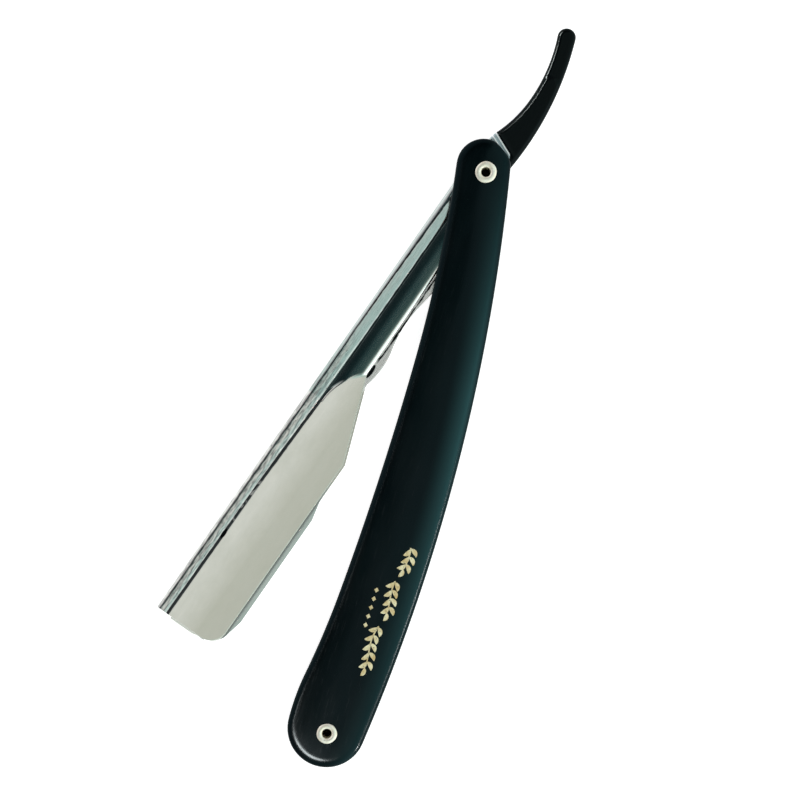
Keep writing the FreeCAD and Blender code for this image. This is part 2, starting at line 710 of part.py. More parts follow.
def make_holder():
    body = new_body("blade_holder")

    tang = new_sketch(body, "tang_outline", "XY_Plane")
    polygon(tang, [
        ("sleeve_mouth_low_u", "tang_tail_v"),
        ("tang_heel_u", "tang_heel_v"),
        ("tang_back_u", "spine_v"),
        ("tang_front_u", "spine_v"),
        ("tang_front_u", "shank_edge_v"),
        ("sleeve_mouth_top_u", "sleeve_mouth_top_v"),
        ("sleeve_mouth_bend_u", "sleeve_mouth_bend_v"),
    ])
    pad(body, tang, "tang", "Sizes.tang_thick", midplane=True)

    tongue = new_sketch(body, "tongue_outline", "XY_Plane")
    tongue_outline(tongue)
    pad(body, tongue, "tongue", "Sizes.tongue_thick", midplane=True)

    shank = new_sketch(body, "shank_section", "YZ_Plane", "Sizes.shank_start_u")
    half_section = [("shank_root_v", "valley_half_thick"), ("valley_v", "valley_half_thick"),
                    ("ridge_v", "ridge_half_thick"), ("shank_edge_v", "shank_lip_half_thick")]
    upper = [point(size(v), size(w)) for v, w in half_section]
    lower = [point(place.x, -place.y) for place in reversed(upper)]
    corners = [(place.x, place.y) for place in upper + lower]
    polygon(shank, corners)
    pad(body, shank, "shank", "Sizes.sweep_end_u + Sizes.overrun / 2 - Sizes.shank_start_u")

    sweep = new_sketch(body, "sweep_region", "XY_Plane")
    sweep_cut(sweep)
    pocket(body, sweep, "sweep", midplane=True)

    head = new_sketch(body, "head_outline", "XY_Plane")
    head_outline(head)
    pad(body, head, "head", "2 * Sizes.leaf_crease_half_thick", midplane=True)

    crease_v = size("leaf_crease_v")
    edge_v = size("leaf_taper_end_v")
    crease_w = size("leaf_crease_half_thick")
    edge_w = size("leaf_edge_half_thick")
    clear_w = crease_w + size("overrun")
    for side, name in ((1, "front_taper"), (-1, "rear_taper")):
        wedge = new_sketch(body, name + "_wedge", "YZ_Plane", "Sizes.leaf_taper_start_u")
        polygon(wedge, [
            (crease_v, side * crease_w),
            (edge_v, side * edge_w),
            (edge_v, side * clear_w),
            (crease_v, side * clear_w),
        ])
        pocket(body, wedge, name, reverse=True)

    strip = new_sketch(body, "reveal_strip", "XY_Plane")
    reveal_strip(strip)
    pocket(body, strip, "front_leaf_edge", "Sizes.overrun", reverse=True)

    add_bead(body)

    slot = new_sketch(body, "slot_section", "YZ_Plane", "Sizes.slot_heel_u")
    half_slot = size("slot_thick") / 2
    far_v = size("leaf_edge_v") + size("overrun")
    polygon(slot, [("slot_inner_v", -half_slot), (far_v, -half_slot), (far_v, half_slot),
                   ("slot_inner_v", half_slot)])
    pocket(body, slot, "carrier_slot", reverse=True)

    hollow = new_sketch(body, "bead_hollow_section", "YZ_Plane", "Sizes.toe_u")
    hollow_v = size("spine_v") + size("bead_toe_half_width")
    add_circle(hollow, hollow_v, 0.0, size("bead_hollow_radius"),
               ("Sizes.spine_v + Sizes.bead_toe_half_width", None, "Sizes.bead_hollow_radius"))
    pocket(body, hollow, "bead_hollow", "Sizes.bead_hollow_length")

    bore = new_sketch(body, "pivot_bore_circle", "XY_Plane")
    add_circle(bore, 0.0, 0.0, size("bush_radius"), (None, None, "Sizes.bush_radius"))
    pocket(body, bore, "pivot_bore", midplane=True)

    dimple = new_sketch(body, "dimple_circle", "XY_Plane", "Sizes.leaf_crease_half_thick + Sizes.overrun")
    add_circle(dimple, size("dimple_u"), size("dimple_v"), size("dimple_radius"),
               ("Sizes.dimple_u", "Sizes.dimple_v", "Sizes.dimple_radius"))
    pocket(body, dimple, "crimp_dimple", "Sizes.overrun + Sizes.dimple_deep")
    place_in_holder(body)
    return body


def make_sleeve():
    body = new_body("tail_sleeve")
    outline = new_sketch(body, "sleeve_outline", "XY_Plane")
    sleeve_outline(outline)
    grip = pad(body, outline, "sleeve", "Sizes.sleeve_thick", midplane=True)
    half = size("sleeve_thick") / 2
    edges = round_edges_at(grip.Shape, half) + round_edges_at(grip.Shape, -half)
    dress(body, "Fillet", "sleeve_rounded", grip, edges, "Radius", "Sizes.sleeve_edge_round")
    seat = new_sketch(body, "sleeve_seat_outline", "XY_Plane")
    tongue_outline(seat)
    pocket(body, seat, "sleeve_seat", "Sizes.tongue_thick", midplane=True)
    place_in_holder(body)
    return body


# ---- the carrier, its pins and the half blade ------------------------------------------------

NOTCH_V = "Sizes.blade_edge_v - Sizes.blade_width"


def notch_v():
    return size("blade_edge_v") - size("blade_width")


def pin_places():
    """u of the two locating pins, with the expression that each follows."""
    places = []
    for side, sign in ((-1, "-"), (1, "+")):
        u = size("blade_centre_u") + side * size("notch_spacing") / 2
        places.append((u, "Sizes.blade_centre_u %s Sizes.notch_spacing / 2" % sign))
    return places


def bow(start, end, sag):
    """Centre of an arc from start to end that stands sag to the left of the straight way."""
    chord = end - start
    half = chord.Length / 2
    radius = (half ** 2 + sag ** 2) / (2 * abs(sag))
    left = point(-chord.y, chord.x)
    left.normalize()
    side = 1 if sag > 0 else -1
    return (start + end) / 2 - left * (side * (radius - abs(sag)))


def make_carrier():
    body = new_body("blade_carrier")
    outline = new_sketch(body, "carrier_outline", "XY_Plane")
    inner_v = size("carrier_inner_v")
    edge_v = size("carrier_edge_v")
    heel_u = size("carrier_heel_u")
    lip_end = point(size("carrier_lip_end_u"), edge_v)
    toe_top = sized_point("carrier_toe_top")
    hump_end = sized_point("carrier_hump_end")
    hump = sized_point("carrier_hump")
    waist = sized_point("carrier_waist")
    hump_bow = size("carrier_hump_bow")
    steps = [
        line(point(size("carrier_toe_u"), inner_v)),
        line(sized_point("carrier_toe")),
        line(toe_top),
        arc(lip_end, bow(toe_top, lip_end, -size("carrier_toe_bow")), 1, smooth=False),
        line(point(size("carrier_lip_full_u"), edge_v)),
        line(sized_point("carrier_lip_start")),
        line(sized_point("carrier_shoulder")),
        line(sized_point("carrier_foot")),
        line(hump_end),
        arc(hump, bow(hump_end, hump, -hump_bow), 1, smooth=False),
        arc(waist, bow(hump, waist, hump_bow), -1, smooth=False),
        line(point(heel_u, size("carrier_heel_v"))),
        line(point(heel_u, inner_v)),
    ]
    trace(outline, point(heel_u, inner_v), steps)
    pad(body, outline, "carrier", "Sizes.carrier_thick", midplane=True)

    slot = new_sketch(body, "blade_slot_section", "YZ_Plane", "Sizes.blade_centre_u")
    half_slot = size("carrier_slot_thick") / 2
    floor_v = notch_v() - size("notch_radius") - size("blade_slot_spare")
    far_v = edge_v + size("overrun")
    polygon(slot, [(floor_v, -half_slot), (far_v, -half_slot), (far_v, half_slot), (floor_v, half_slot)])
    pocket(body, slot, "blade_slot", "Sizes.blade_tab_length + Sizes.blade_end_play", midplane=True)

    pins = new_sketch(body, "pin_holes", "XY_Plane")
    for place, expression in pin_places():
        add_circle(pins, place, notch_v(), size("locating_pin_radius"),
                   (expression, NOTCH_V, "Sizes.locating_pin_radius"))
    pocket(body, pins, "pin_seats", midplane=True)
    place_in_holder(body)
    return body


def make_pins():
    """Two riveted pins that the half blade's notches sit against."""
    body = new_body("carrier_locating_pins")
    sketch = new_sketch(body, "locating_pin_circles", "XY_Plane")
    for place, expression in pin_places():
        add_circle(sketch, place, notch_v(), size("locating_pin_radius"),
                   (expression, NOTCH_V, "Sizes.locating_pin_radius"))
    body.AllowCompound = True
    pad(body, sketch, "locating_pins", "Sizes.carrier_thick", midplane=True)
    place_in_holder(body)
    return body


def make_half_blade():
    """Half of a double-edge blade: end tabs on the snapped side, three half-round notches in it."""
    body = new_body("half_blade")
    outline = new_sketch(body, "blade_outline", "XY_Plane")
    middle = size("blade_centre_u")
    tab = size("blade_tab_length") / 2
    half_edge = size("blade_edge_length") / 2
    low = notch_v()
    step_v = low + size("blade_tab_width")
    edge_v = size("blade_edge_v")
    eased = size("blade_corner_ease_v")
    ease_start = size("blade_corner_ease_u")
    polygon(outline, [
        (middle - tab, low),
        (middle + tab, low),
        (middle + tab, step_v),
        (middle + half_edge, step_v),
        (middle + half_edge, edge_v - eased),
        (middle + half_edge - ease_start, edge_v),
        (middle - half_edge + ease_start, edge_v),
        (middle - half_edge, edge_v - eased),
        (middle - half_edge, step_v),
        (middle - tab, step_v),
    ])
    pad(body, outline, "blade_sheet", "Sizes.blade_thick", midplane=True)
    notches = new_sketch(body, "blade_notches", "XY_Plane")
    add_circle(notches, middle, low, size("notch_radius"),
               ("Sizes.blade_centre_u", NOTCH_V, "Sizes.notch_radius"))
    for place, expression in pin_places():
        add_circle(notches, place, low, size("notch_radius"), (expression, NOTCH_V, "Sizes.notch_radius"))
    pocket(body, notches, "notches", midplane=True)
    place_in_holder(body)
    return body


# ---- the whole razor -------------------------------------------------------------------------

sub_parts = [
    make_scale("front_scale", True),
    make_scale("rear_scale", False),
    make_eyelet("pivot_eyelet", "pivot_flange_radius", None),
    make_eyelet("butt_eyelet", "butt_flange_radius", "eyelet_spacing"),
]

loose_bore = (size("eyelet_barrel_radius") + size("barrel_fit"),
              "Sizes.eyelet_barrel_radius + Sizes.barrel_fit")
clinch_rim = (size("clinch_washer_radius"), "Sizes.clinch_washer_radius")
clinch_z = REAR_FACE_Z + " + Sizes.rear_flange_inset + Sizes.flange_high"
for place, x_name in (("pivot", None), ("butt", "eyelet_spacing")):
    sub_parts.append(make_ring(place + "_clinch_washer", loose_bore, clinch_rim,
                               "Sizes.clinch_washer_thick", x_name, clinch_z))

spacer_rim = (size("butt_spacer_radius"), "Sizes.butt_spacer_radius")
sub_parts.append(make_ring("butt_spacer", loose_bore, spacer_rim, "Sizes.scale_gap",
                           "eyelet_spacing", "-Sizes.scale_gap / 2"))

washer_rim = (size("pivot_washer_radius"), "Sizes.pivot_washer_radius")
washer_places = {
    "rear_pivot_washer": "-Sizes.scale_gap / 2",
    "front_pivot_washer": "Sizes.scale_gap / 2 - Sizes.pivot_washer_thick",
}
for label, z_expression in washer_places.items():
    sub_parts.append(make_ring(label, loose_bore, washer_rim, "Sizes.pivot_washer_thick",
                               None, z_expression))

bush_bore = (size("eyelet_barrel_radius") + size("bush_fit"),
             "Sizes.eyelet_barrel_radius + Sizes.bush_fit")
bush_rim = (size("bush_radius"), "Sizes.bush_radius")
sub_parts.append(make_ring("tang_bush", bush_bore, bush_rim, "Sizes.tang_thick", None,
                           "-Sizes.tang_thick / 2"))

sub_parts += [
    make_holder(),
    make_sleeve(),
    make_carrier(),
    make_pins(),
    make_half_blade(),
]

doc.recompute()
for item in doc.Objects:
    if "Invalid" in item.State or "Error" in item.State:
        raise RuntimeError("%s failed: %s" % (item.Label, item.State))
    if item.isDerivedFrom("Sketcher::SketchObject") and item.solve() != 0:
        raise RuntimeError("sketch %s can't be solved" % item.Label)

os.makedirs("parts", exist_ok=True)
for part in sub_parts:
    shape = part.Shape
    if shape.isNull() or not shape.isValid():
        raise RuntimeError(part.Label + " has no valid shape")
    shape.exportStep("parts/%s.step" % part.Label)
    box = shape.BoundBox
    print("%-24s %8.1f mm3 %d solid  x %.1f..%.1f y %.1f..%.1f z %.2f..%.2f" % (
        part.Label, shape.Volume, len(shape.Solids), box.XMin, box.XMax, box.YMin, box.YMax,
        box.ZMin, box.ZMax))
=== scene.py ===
"""The looks of the straight razor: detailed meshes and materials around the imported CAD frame.

Meshes are drawn in millimetres and made in metres. The blade holder's pieces are drawn in its own
plane: u along the spine towards the toe, v towards the cutting edge, w across, as in the CAD model.
"""

import json
import math

import bpy
import numpy as np
from mathutils import Matrix, Vector, noise
from mathutils.geometry import delaunay_2d_cdt


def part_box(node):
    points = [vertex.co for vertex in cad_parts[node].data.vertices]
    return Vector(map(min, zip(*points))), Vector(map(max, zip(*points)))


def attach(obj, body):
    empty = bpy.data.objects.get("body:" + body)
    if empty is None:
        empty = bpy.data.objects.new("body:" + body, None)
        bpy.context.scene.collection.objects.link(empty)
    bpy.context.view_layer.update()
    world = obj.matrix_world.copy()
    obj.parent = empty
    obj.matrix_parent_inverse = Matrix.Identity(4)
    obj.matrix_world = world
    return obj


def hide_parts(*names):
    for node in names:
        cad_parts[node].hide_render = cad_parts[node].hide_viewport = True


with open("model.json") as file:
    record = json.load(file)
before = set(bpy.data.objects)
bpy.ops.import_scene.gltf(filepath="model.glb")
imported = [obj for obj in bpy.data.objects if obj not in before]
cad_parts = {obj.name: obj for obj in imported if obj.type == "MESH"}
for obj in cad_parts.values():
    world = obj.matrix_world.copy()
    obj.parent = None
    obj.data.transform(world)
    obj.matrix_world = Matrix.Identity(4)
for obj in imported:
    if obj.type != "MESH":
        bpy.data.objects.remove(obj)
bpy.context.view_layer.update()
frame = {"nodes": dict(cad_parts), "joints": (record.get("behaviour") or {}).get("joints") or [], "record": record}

MM = 0.001
TAU = 2 * math.pi


def named(rows, name):
    return next(row for row in rows if row["name"] == name)


def levels(node):
    """Lowest and highest z of a CAD node, in millimetres."""
    low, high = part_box(node)
    return low.z / MM, high.z / MM


SLIDE = named(frame["joints"], "carrier_slide")["axis"]
HOLDER_TURN = math.atan2(SLIDE[1], SLIDE[0])
MOUNTS = frame["record"]["mounts"]
BUTT_X = named(MOUNTS, "butt_bore")["pos_m"][0] / MM
U_AXIS = Vector((math.cos(HOLDER_TURN), math.sin(HOLDER_TURN), 0))
V_AXIS = Vector((-math.sin(HOLDER_TURN), math.cos(HOLDER_TURN), 0))


# ---- plane geometry ----

def meet(centre_a, reach_a, centre_b, reach_b, left):
    """The point at reach_a from centre_a and reach_b from centre_b, left or right of the line a to b."""
    across = centre_b - centre_a
    gap = across.length
    along = (reach_a ** 2 - reach_b ** 2 + gap ** 2) / (2 * gap)
    aside = math.sqrt(max(reach_a ** 2 - along ** 2, 0.0))
    across.normalize()
    sideways = Vector((-across.y, across.x)) * (aside if left else -aside)
    return centre_a + across * along + sideways


def toward(start, goal, distance):
    return start + (goal - start).normalized() * distance


def on_circle(centre, radius, x):
    """The upper point of a circle at that x."""
    return Vector((x, centre.y + math.sqrt(radius ** 2 - (x - centre.x) ** 2)))


def bow(start, end, sag):
    """Centre of an arc from start to end that stands sag to the left of the straight way."""
    chord = end - start
    radius = ((chord.length / 2) ** 2 + sag ** 2) / (2 * abs(sag))
    left = Vector((-chord.y, chord.x)).normalized()
    return (start + end) / 2 - left * math.copysign(radius - abs(sag), sag)


def trace(start, steps, spacing):
    """Points of a closed outline; a step is an end for a straight run, or (end, centre, turn) for an arc."""
    points, here = [], Vector(start)
    for step in steps:
        if len(step) == 2:
            end = Vector(step)
            count = max(1, math.ceil((end - here).length / spacing))
            points += [tuple(here.lerp(end, k / count)) for k in range(count)]
        else:
            end, centre, turn = Vector(step[0]), step[1], step[2]
            radius = (here - centre).length
            first = math.atan2(here.y - centre.y, here.x - centre.x)
            last = math.atan2(end.y - centre.y, end.x - centre.x)
            sweep = ((last - first) * turn) % TAU
            count = max(2, math.ceil(radius * sweep / spacing))
            for k in range(count):
                angle = first + turn * sweep * k / count
                points.append((centre.x + radius * math.cos(angle), centre.y + radius * math.sin(angle)))
        here = end
    outline = np.array(points)
    following = np.roll(outline, -1, 0)
    area = (outline[:, 0] * following[:, 1] - following[:, 0] * outline[:, 1]).sum()
    return outline if area > 0 else outline[::-1]


def inset(outline, distance):
    """The outline moved inwards, with its corners kept sharp."""
    def left_of(steps):
        steps = steps / np.linalg.norm(steps, axis=1)[:, None]
        return np.stack([-steps[:, 1], steps[:, 0]], 1)

    before = left_of(outline - np.roll(outline, 1, 0))
    after = left_of(np.roll(outline, -1, 0) - outline)
    spread = 1 + (before * after).sum(1)
    return outline + distance * (before + after) / spread[:, None]


def distance_to(outline, places):
    """How far each place is from a closed outline."""
    start = outline[None]
    step = np.roll(outline, -1, 0)[None] - start
    away = places[:, None] - start
    share = np.clip((away * step).sum(2) / (step ** 2).sum(2), 0, 1)
    return np.sqrt(((away - share[..., None] * step) ** 2).sum(2)).min(1)


def inside(outline, places):
    """Whether each place is within a closed outline."""
    x, y = places[:, :1], places[:, 1:]
    x_a, y_a = outline[:, 0], outline[:, 1]
    x_b, y_b = np.roll(x_a, -1), np.roll(y_a, -1)
    crosses = (y_a > y) != (y_b > y)
    level = np.where(y_b == y_a, 1.0, y_b - y_a)
    return (crosses & (x < x_a + (y - y_a) * (x_b - x_a) / level)).sum(1) % 2 == 1


def smooth(low, high, value):
    """A step from 0 to 1 between low and high, eased at both ends."""
    share = np.clip((np.asarray(value, float) - low) / (high - low), 0, 1)
    return share * share * (3 - 2 * share)


# ---- meshes ----

class Shell:
    """Vertices in millimetres and faces, gathered piece by piece."""

    def __init__(self):
        self.points = []
        self.faces = []

    def add(self, points):
        """Adds points and gives their numbers."""
        first = len(self.points)
        self.points.extend(tuple(map(float, place)) for place in points)
        return list(range(first, len(self.points)))

    def bridge(self, ring_a, ring_b, closed=True):
        """Quads between two rows of the same length."""
        count = len(ring_a)
        for k in range(count if closed else count - 1):
            n = (k + 1) % count
            self.faces.append((ring_a[k], ring_a[n], ring_b[n], ring_b[k]))

    def cap(self, ring, flip=False):
        self.faces.append(tuple(ring[::-1] if flip else ring))

    def prism(self, corners, low, high):
        """A flat-ended block over an outline given anticlockwise."""
        bottom = self.add([(*place, low) for place in corners])
        top = self.add([(*place, high) for place in corners])
        self.bridge(bottom, top)
        self.cap(top)
        self.cap(bottom, flip=True)
        return self

    def fill(self, ring, height, pitch, flip=False):
        """Covers a closed level ring with triangles whose inner points follow a height."""
        edge = np.array([self.points[k][:2] for k in ring])
        low, high = edge.min(0), edge.max(0)
        rows = np.arange(low[1], high[1], pitch * math.sqrt(0.75))
        grid = np.array([(x, y) for index, y in enumerate(rows)
                         for x in np.arange(low[0] + (index % 2) * pitch / 2, high[0], pitch)])
        grid = grid[inside(edge, grid)]
        grid = grid[distance_to(edge, grid) > 0.6 * pitch]
        numbers = ring + self.add(np.column_stack([grid, height(grid)]))
        flat = [Vector(self.points[k][:2]) for k in numbers]
        result = delaunay_2d_cdt(flat, [], [list(range(len(ring)))], 1, 1e-7, True)
        placed, faces, sources = np.array(result[0]), result[2], result[3]
        middles = np.array([placed[face].mean(0) for face in faces])
        for face, within in zip(faces, inside(edge, middles)):
            if not within:
                continue
            corners = [numbers[sources[k][0]] for k in face]
            a, b, c = (np.array(self.points[k][:2]) for k in corners[:3])
            turns_left = np.cross(b - a, c - b) > 0
            self.faces.append(tuple(corners if turns_left != flip else corners[::-1]))

    def make(self, name, place=None):
        """The Blender object, in metres; place turns the drawing into the row frame."""
        points = np.array(self.points)
        if place is not None:
            points = points @ np.array(place).T
        mesh = bpy.data.meshes.new(name)
        mesh.from_pydata((points * MM).tolist(), [], self.faces)
        mesh.validate()
        solid = bpy.data.objects.new(name, mesh)
        bpy.context.scene.collection.objects.link(solid)
        return solid


IN_HOLDER = np.array((U_AXIS, V_AXIS, (0, 0, 1))).T


def plate(outline, rim, up, pitch, down=None, rim_down=None):
    """A closed plate between faces of given heights, mirrored unless the lower one is given.

    A rim is (inset, drop) pairs from the wall inwards.
    """
    down, rim_down = down or (lambda places: -up(places)), rim_down or rim
    shell = Shell()
    rings = []
    for pairs, face, sign in ((rim[::-1], up, -1), (rim_down, down, 1)):
        for reach, drop in pairs:
            ring = inset(outline, reach)
            rings.append(shell.add(np.column_stack([ring, face(ring) + sign * drop])))
    for ring_a, ring_b in zip(rings, rings[1:]):
        shell.bridge(ring_b, ring_a)
    shell.fill(rings[0], up, pitch)
    shell.fill(rings[-1], down, pitch, flip=True)
    return shell


def level_face(height):
    """The height of a flat face, for a plate."""
    return lambda places: np.full(len(places), height)


def quarter_round(width, count, reach=(), depth=None):
    """Rim pairs of a rounded edge, then plain rings at the given insets."""
    pairs = []
    for k in range(count + 1):
        angle = math.pi / 2 * k / count
        pairs.append((width * (1 - math.cos(angle)), (depth or width) * (1 - math.sin(angle))))
    return pairs + [(distance, 0.0) for distance in reach]


def lathe(profile, segments, x, wobble):
    """A ring turned about a vertical axis at x, from a closed profile of (radius, z) that wobble varies."""
    shell = Shell()
    rings = []
    for k in range(segments):
        turn = TAU * k / segments
        reaches = [radius + wobble(turn, index) for index, (radius, _) in enumerate(profile)]
        rings.append(shell.add([(x + reach * math.cos(turn), reach * math.sin(turn), z)
                                for reach, (_, z) in zip(reaches, profile)]))
    for ring_a, ring_b in zip(rings, rings[1:] + rings[:1]):
        shell.bridge(ring_a, ring_b)
    return shell


def carve(solid, *cutters):
    """Takes the cutters away from a solid."""
    for cutter in cutters:
        cut = solid.modifiers.new("cut", "BOOLEAN")
        cut.operation = "DIFFERENCE"
        cut.solver = "EXACT"
        cut.object = cutter
        depsgraph = bpy.context.evaluated_depsgraph_get()
        carved = bpy.data.meshes.new_from_object(solid.evaluated_get(depsgraph), depsgraph=depsgraph)
        solid.modifiers.clear()
        old, solid.data = solid.data, carved
        bpy.data.meshes.remove(old)
        bpy.data.objects.remove(cutter)


def oval(x, y, half_x, half_y, count):
    """Points round an ellipse, anticlockwise."""
    turns = [TAU * k / count for k in range(count)]
    return [(x + half_x * math.cos(turn), y + half_y * math.sin(turn)) for turn in turns]


def drum(name, x, y, radius, low, high, place=None):
    """A round cutter."""
    return Shell().prism(oval(x, y, radius, radius, 64), low, high).make(name, place)


def dress(piece, body, material, slot, *nodes, crease=30.0):
    """Shades a piece, hangs it on its body and hides the CAD nodes it stands for."""
    piece.data.materials.clear()
    piece.data.materials.append(material)
    piece.data.polygons.foreach_set("use_smooth", [True] * len(piece.data.polygons))
    piece.data.set_sharp_from_angle(angle=math.radians(crease))
    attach(piece, body)
    if nodes:
        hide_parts(*nodes)


# ---- the scales' plan ----

PIVOT_END, PIVOT_END_RADIUS = Vector((-1.3, -0.87)), 5.93
BUTT_END, BUTT_END_RADIUS = Vector((126.65, -0.38)), 8.6
BACK_RADIUS = 420.0
HOLLOW_TOP, HOLLOW_RADIUS = Vector((44.0, -3.75)), 700.0
FLARE_X, FLARE_RADIUS = 98.0, 190.0
HEEL_RADIUS = 50.0
FLAT_TURN, FLAT_REACH, FLAT_CORNER = math.radians(145.6), 5.5, 4.0
BACK_CENTRE = meet(PIVOT_END, BACK_RADIUS - PIVOT_END_RADIUS, BUTT_END, BACK_RADIUS - BUTT_END_RADIUS, False)


# ---- materials ----

class Value:
    """A number that varies over a surface or a sky, with plain arithmetic."""

    def __init__(self, nodes, socket):
        self.nodes, self.socket = nodes, socket

    def __add__(self, other):
        return self.nodes.math("ADD", self, other)

    def __sub__(self, other):
        return self.nodes.math("SUBTRACT", self, other)

    def __rsub__(self, other):
        return self.nodes.math("SUBTRACT", other, self)

    def __mul__(self, other):
        return self.nodes.math("MULTIPLY", self, other)

    def __pow__(self, other):
        return self.nodes.math("POWER", self, other)

    def __abs__(self):
        return self.nodes.math("ABSOLUTE", self)

    def root(self):
        return self.nodes.math("SQRT", self)

    def span(self, low, high, to_low=0.0, to_high=1.0):
        """The value brought from one range to another, and kept within it."""
        node = self.nodes.node("MapRange", Value=self, From_Min=low, From_Max=high,
                               To_Min=to_low, To_Max=to_high)
        return Value(self.nodes, node.outputs["Result"])


class Nodes:
    """Shader nodes under construction, in the emptied tree of a material or a world."""

    def __init__(self, owner):
        owner.use_nodes = True
        self.tree = owner.node_tree
        self.tree.nodes.clear()

    def plug(self, source, socket):
        """Links a value or an output to a socket, or sets the socket to a constant."""
        source = source.socket if isinstance(source, Value) else source
        if isinstance(source, bpy.types.NodeSocket):
            self.tree.links.new(source, socket)
        else:
            socket.default_value = source

    def node(self, kind, **inputs):
        node = self.tree.nodes.new("ShaderNode" + kind)
        for name, source in inputs.items():
            self.plug(source, node.inputs[name.replace("_", " ")])
        return node

    def math(self, operation, *sources):
        node = self.node("Math")
        node.operation = operation
        for source, socket in zip(sources, node.inputs):
            self.plug(source, socket)
        return Value(self, node.outputs["Value"])

    def mix(self, share, below, above):
        """One colour over another, by share."""
        node = self.node("Mix")
        node.data_type = "RGBA"
        sockets = [socket for socket in node.inputs if socket.enabled]
        for source, socket in zip((share, below, above), sockets):
            self.plug((*source, 1) if isinstance(source, tuple) else source, socket)
        return next(socket for socket in node.outputs if socket.enabled)


class Paint(Nodes):
    """A surface's material. Lengths in its patterns are millimetres of the object."""

    def __init__(self, name, turn=0.0):
        self.material = bpy.data.materials.new(name)
        super().__init__(self.material)
        self.place = self.mapped(self.node("TexCoord").outputs["Object"], (1 / MM,) * 3, turn)
        axes = self.node("SeparateXYZ", Vector=self.place)
        self.u, self.v = Value(self, axes.outputs["X"]), Value(self, axes.outputs["Y"])

    def mapped(self, vector, scale, turn=0.0):
        return self.node("Mapping", Vector=vector, Scale=scale, Rotation=(0, 0, turn)).outputs["Vector"]

    def noise(self, size, stretch=(1, 1, 1), detail=3.0):
        """Noise with features about size millimetres across, drawn out by stretch."""
        scale = tuple(1 / (size * part) for part in stretch)
        node = self.node("TexNoise", Vector=self.mapped(self.place, scale), Scale=1.0, Detail=detail,
                         Roughness=0.55)
        return Value(self, node.outputs["Fac"])

    def ellipse(self, middle, per_u=1.0, per_v=1.0):
        """The squared distance from a point in the plane, in units that may differ along u and v."""
        across, up = (self.u - middle[0]) * per_u, (self.v - middle[1]) * per_v
        return across * across + up * up

    def base(self, share, dark, light):
        """The ground tone, from dark to light by share."""
        self.tone = self.mix(share, dark, light)

    def coat(self, share, colour):
        """A colour laid over the tone so far, by share."""
        self.tone = self.mix(share, self.tone, colour)

    def finish(self, *relief, **inputs):
        """The finished material; relief is (height, millimetres) layers, the lowest first."""
        for height, depth in relief:
            bump = self.node("Bump", Height=height, Distance=depth * MM)
            if "Normal" in inputs:
                self.plug(inputs["Normal"], bump.inputs["Normal"])
            inputs["Normal"] = bump.outputs["Normal"]
        surface = self.node("BsdfPrincipled", Base_Color=self.tone, **inputs)
        self.node("OutputMaterial", Surface=surface.outputs["BSDF"])
        return self.material


def scale_plastic():
    """Polished black moulding: green-black with a painted teal sheen along its back, fading towards both ends,
    hazed, scratched and waved.
    """
    paint = Paint("black_scales")
    cloud, haze = paint.noise(9.0, (3, 1, 1), 4), paint.noise(5.0, (4, 1, 1), 5)
    scratch, waves = paint.noise(0.22, (26, 1, 1), 2), paint.noise(7.0, (2.5, 1, 1), 1)
    paint.base(cloud.span(0.35, 0.7), (0.0006, 0.0018, 0.0022), (0.0013, 0.0036, 0.0042))
    paint.coat(paint.noise(0.35, detail=2).span(0.66, 0.76, 0, 0.35), (0.009, 0.018, 0.02))
    # painted sheen: a paler teal band along the back, kept off the rounded wall and fading towards both ends
    reach = paint.ellipse(BACK_CENTRE).root()
    sheen_by_back = reach.span(BACK_RADIUS - 6.2, BACK_RADIUS - 1.2) ** 1.7
    sheen_off_wall = reach.span(BACK_RADIUS - 1.1, BACK_RADIUS - 0.2, 1, 0.12)
    sheen_along = paint.u.span(0, 48, 0.12, 1) * paint.u.span(60, 120, 1, 0.3)
    paint.coat(sheen_by_back * sheen_off_wall * sheen_along, (0.023, 0.067, 0.072))
    rough = haze.span(0.3, 0.7, 0.13, 0.2) + scratch.span(0.62, 0.74, 0, 0.1)
    return paint.finish((waves, 0.05), (scratch, 0.0016), Roughness=rough, IOR=1.46,
                        Specular_IOR_Level=0.125, Specular_Tint=(0.45, 0.85, 1.0, 1))


def sleeve_vinyl():
    """Soft black vinyl: glossier than the scales, with a faint orange-peel skin."""
    paint = Paint("black_sleeve")
    cloud = paint.noise(3.0, detail=4)
    paint.base(cloud.span(0.35, 0.7), (0.0004, 0.0008, 0.001), (0.0009, 0.0015, 0.0018))
    return paint.finish((paint.noise(0.5), 0.006), Roughness=cloud.span(0.3, 0.7, 0.12, 0.2), IOR=1.47,
                        Specular_IOR_Level=0.11, Specular_Tint=(0.7, 0.95, 1.0, 1))


def spacer_plastic():
    """Turned black plastic with faint tool rings."""
    paint = Paint("black_spacer")
    grain = paint.noise(0.6, (1, 1, 0.2))
    paint.base(grain, (0.006, 0.008, 0.009), (0.018, 0.021, 0.023))
    return paint.finish((grain, 0.01), Roughness=grain.span(0.3, 0.7, 0.35, 0.55))


def steel(name, dark, light, rough, grain_size):
    """Satin sheet steel: a grain along the sheet, soft blotches and small stains."""
    paint = Paint(name, -HOLDER_TURN)
    blotch, grain = paint.noise(4.5, (1.6, 1, 1), 4), paint.noise(grain_size, (30, 1, 1))
    paint.base(blotch.span(0.32, 0.68), dark, light)
    paint.coat(paint.noise(0.9).span(0.68, 0.8, 0, 0.2), tuple(0.72 * part for part in dark))
    shine = blotch.span(0.3, 0.7, rough, rough + 0.03) + grain.span(0.35, 0.7, 0, 0.04)
    return paint.finish((blotch, 0.006), (grain, 0.0004), Roughness=shine, Metallic=1.0)


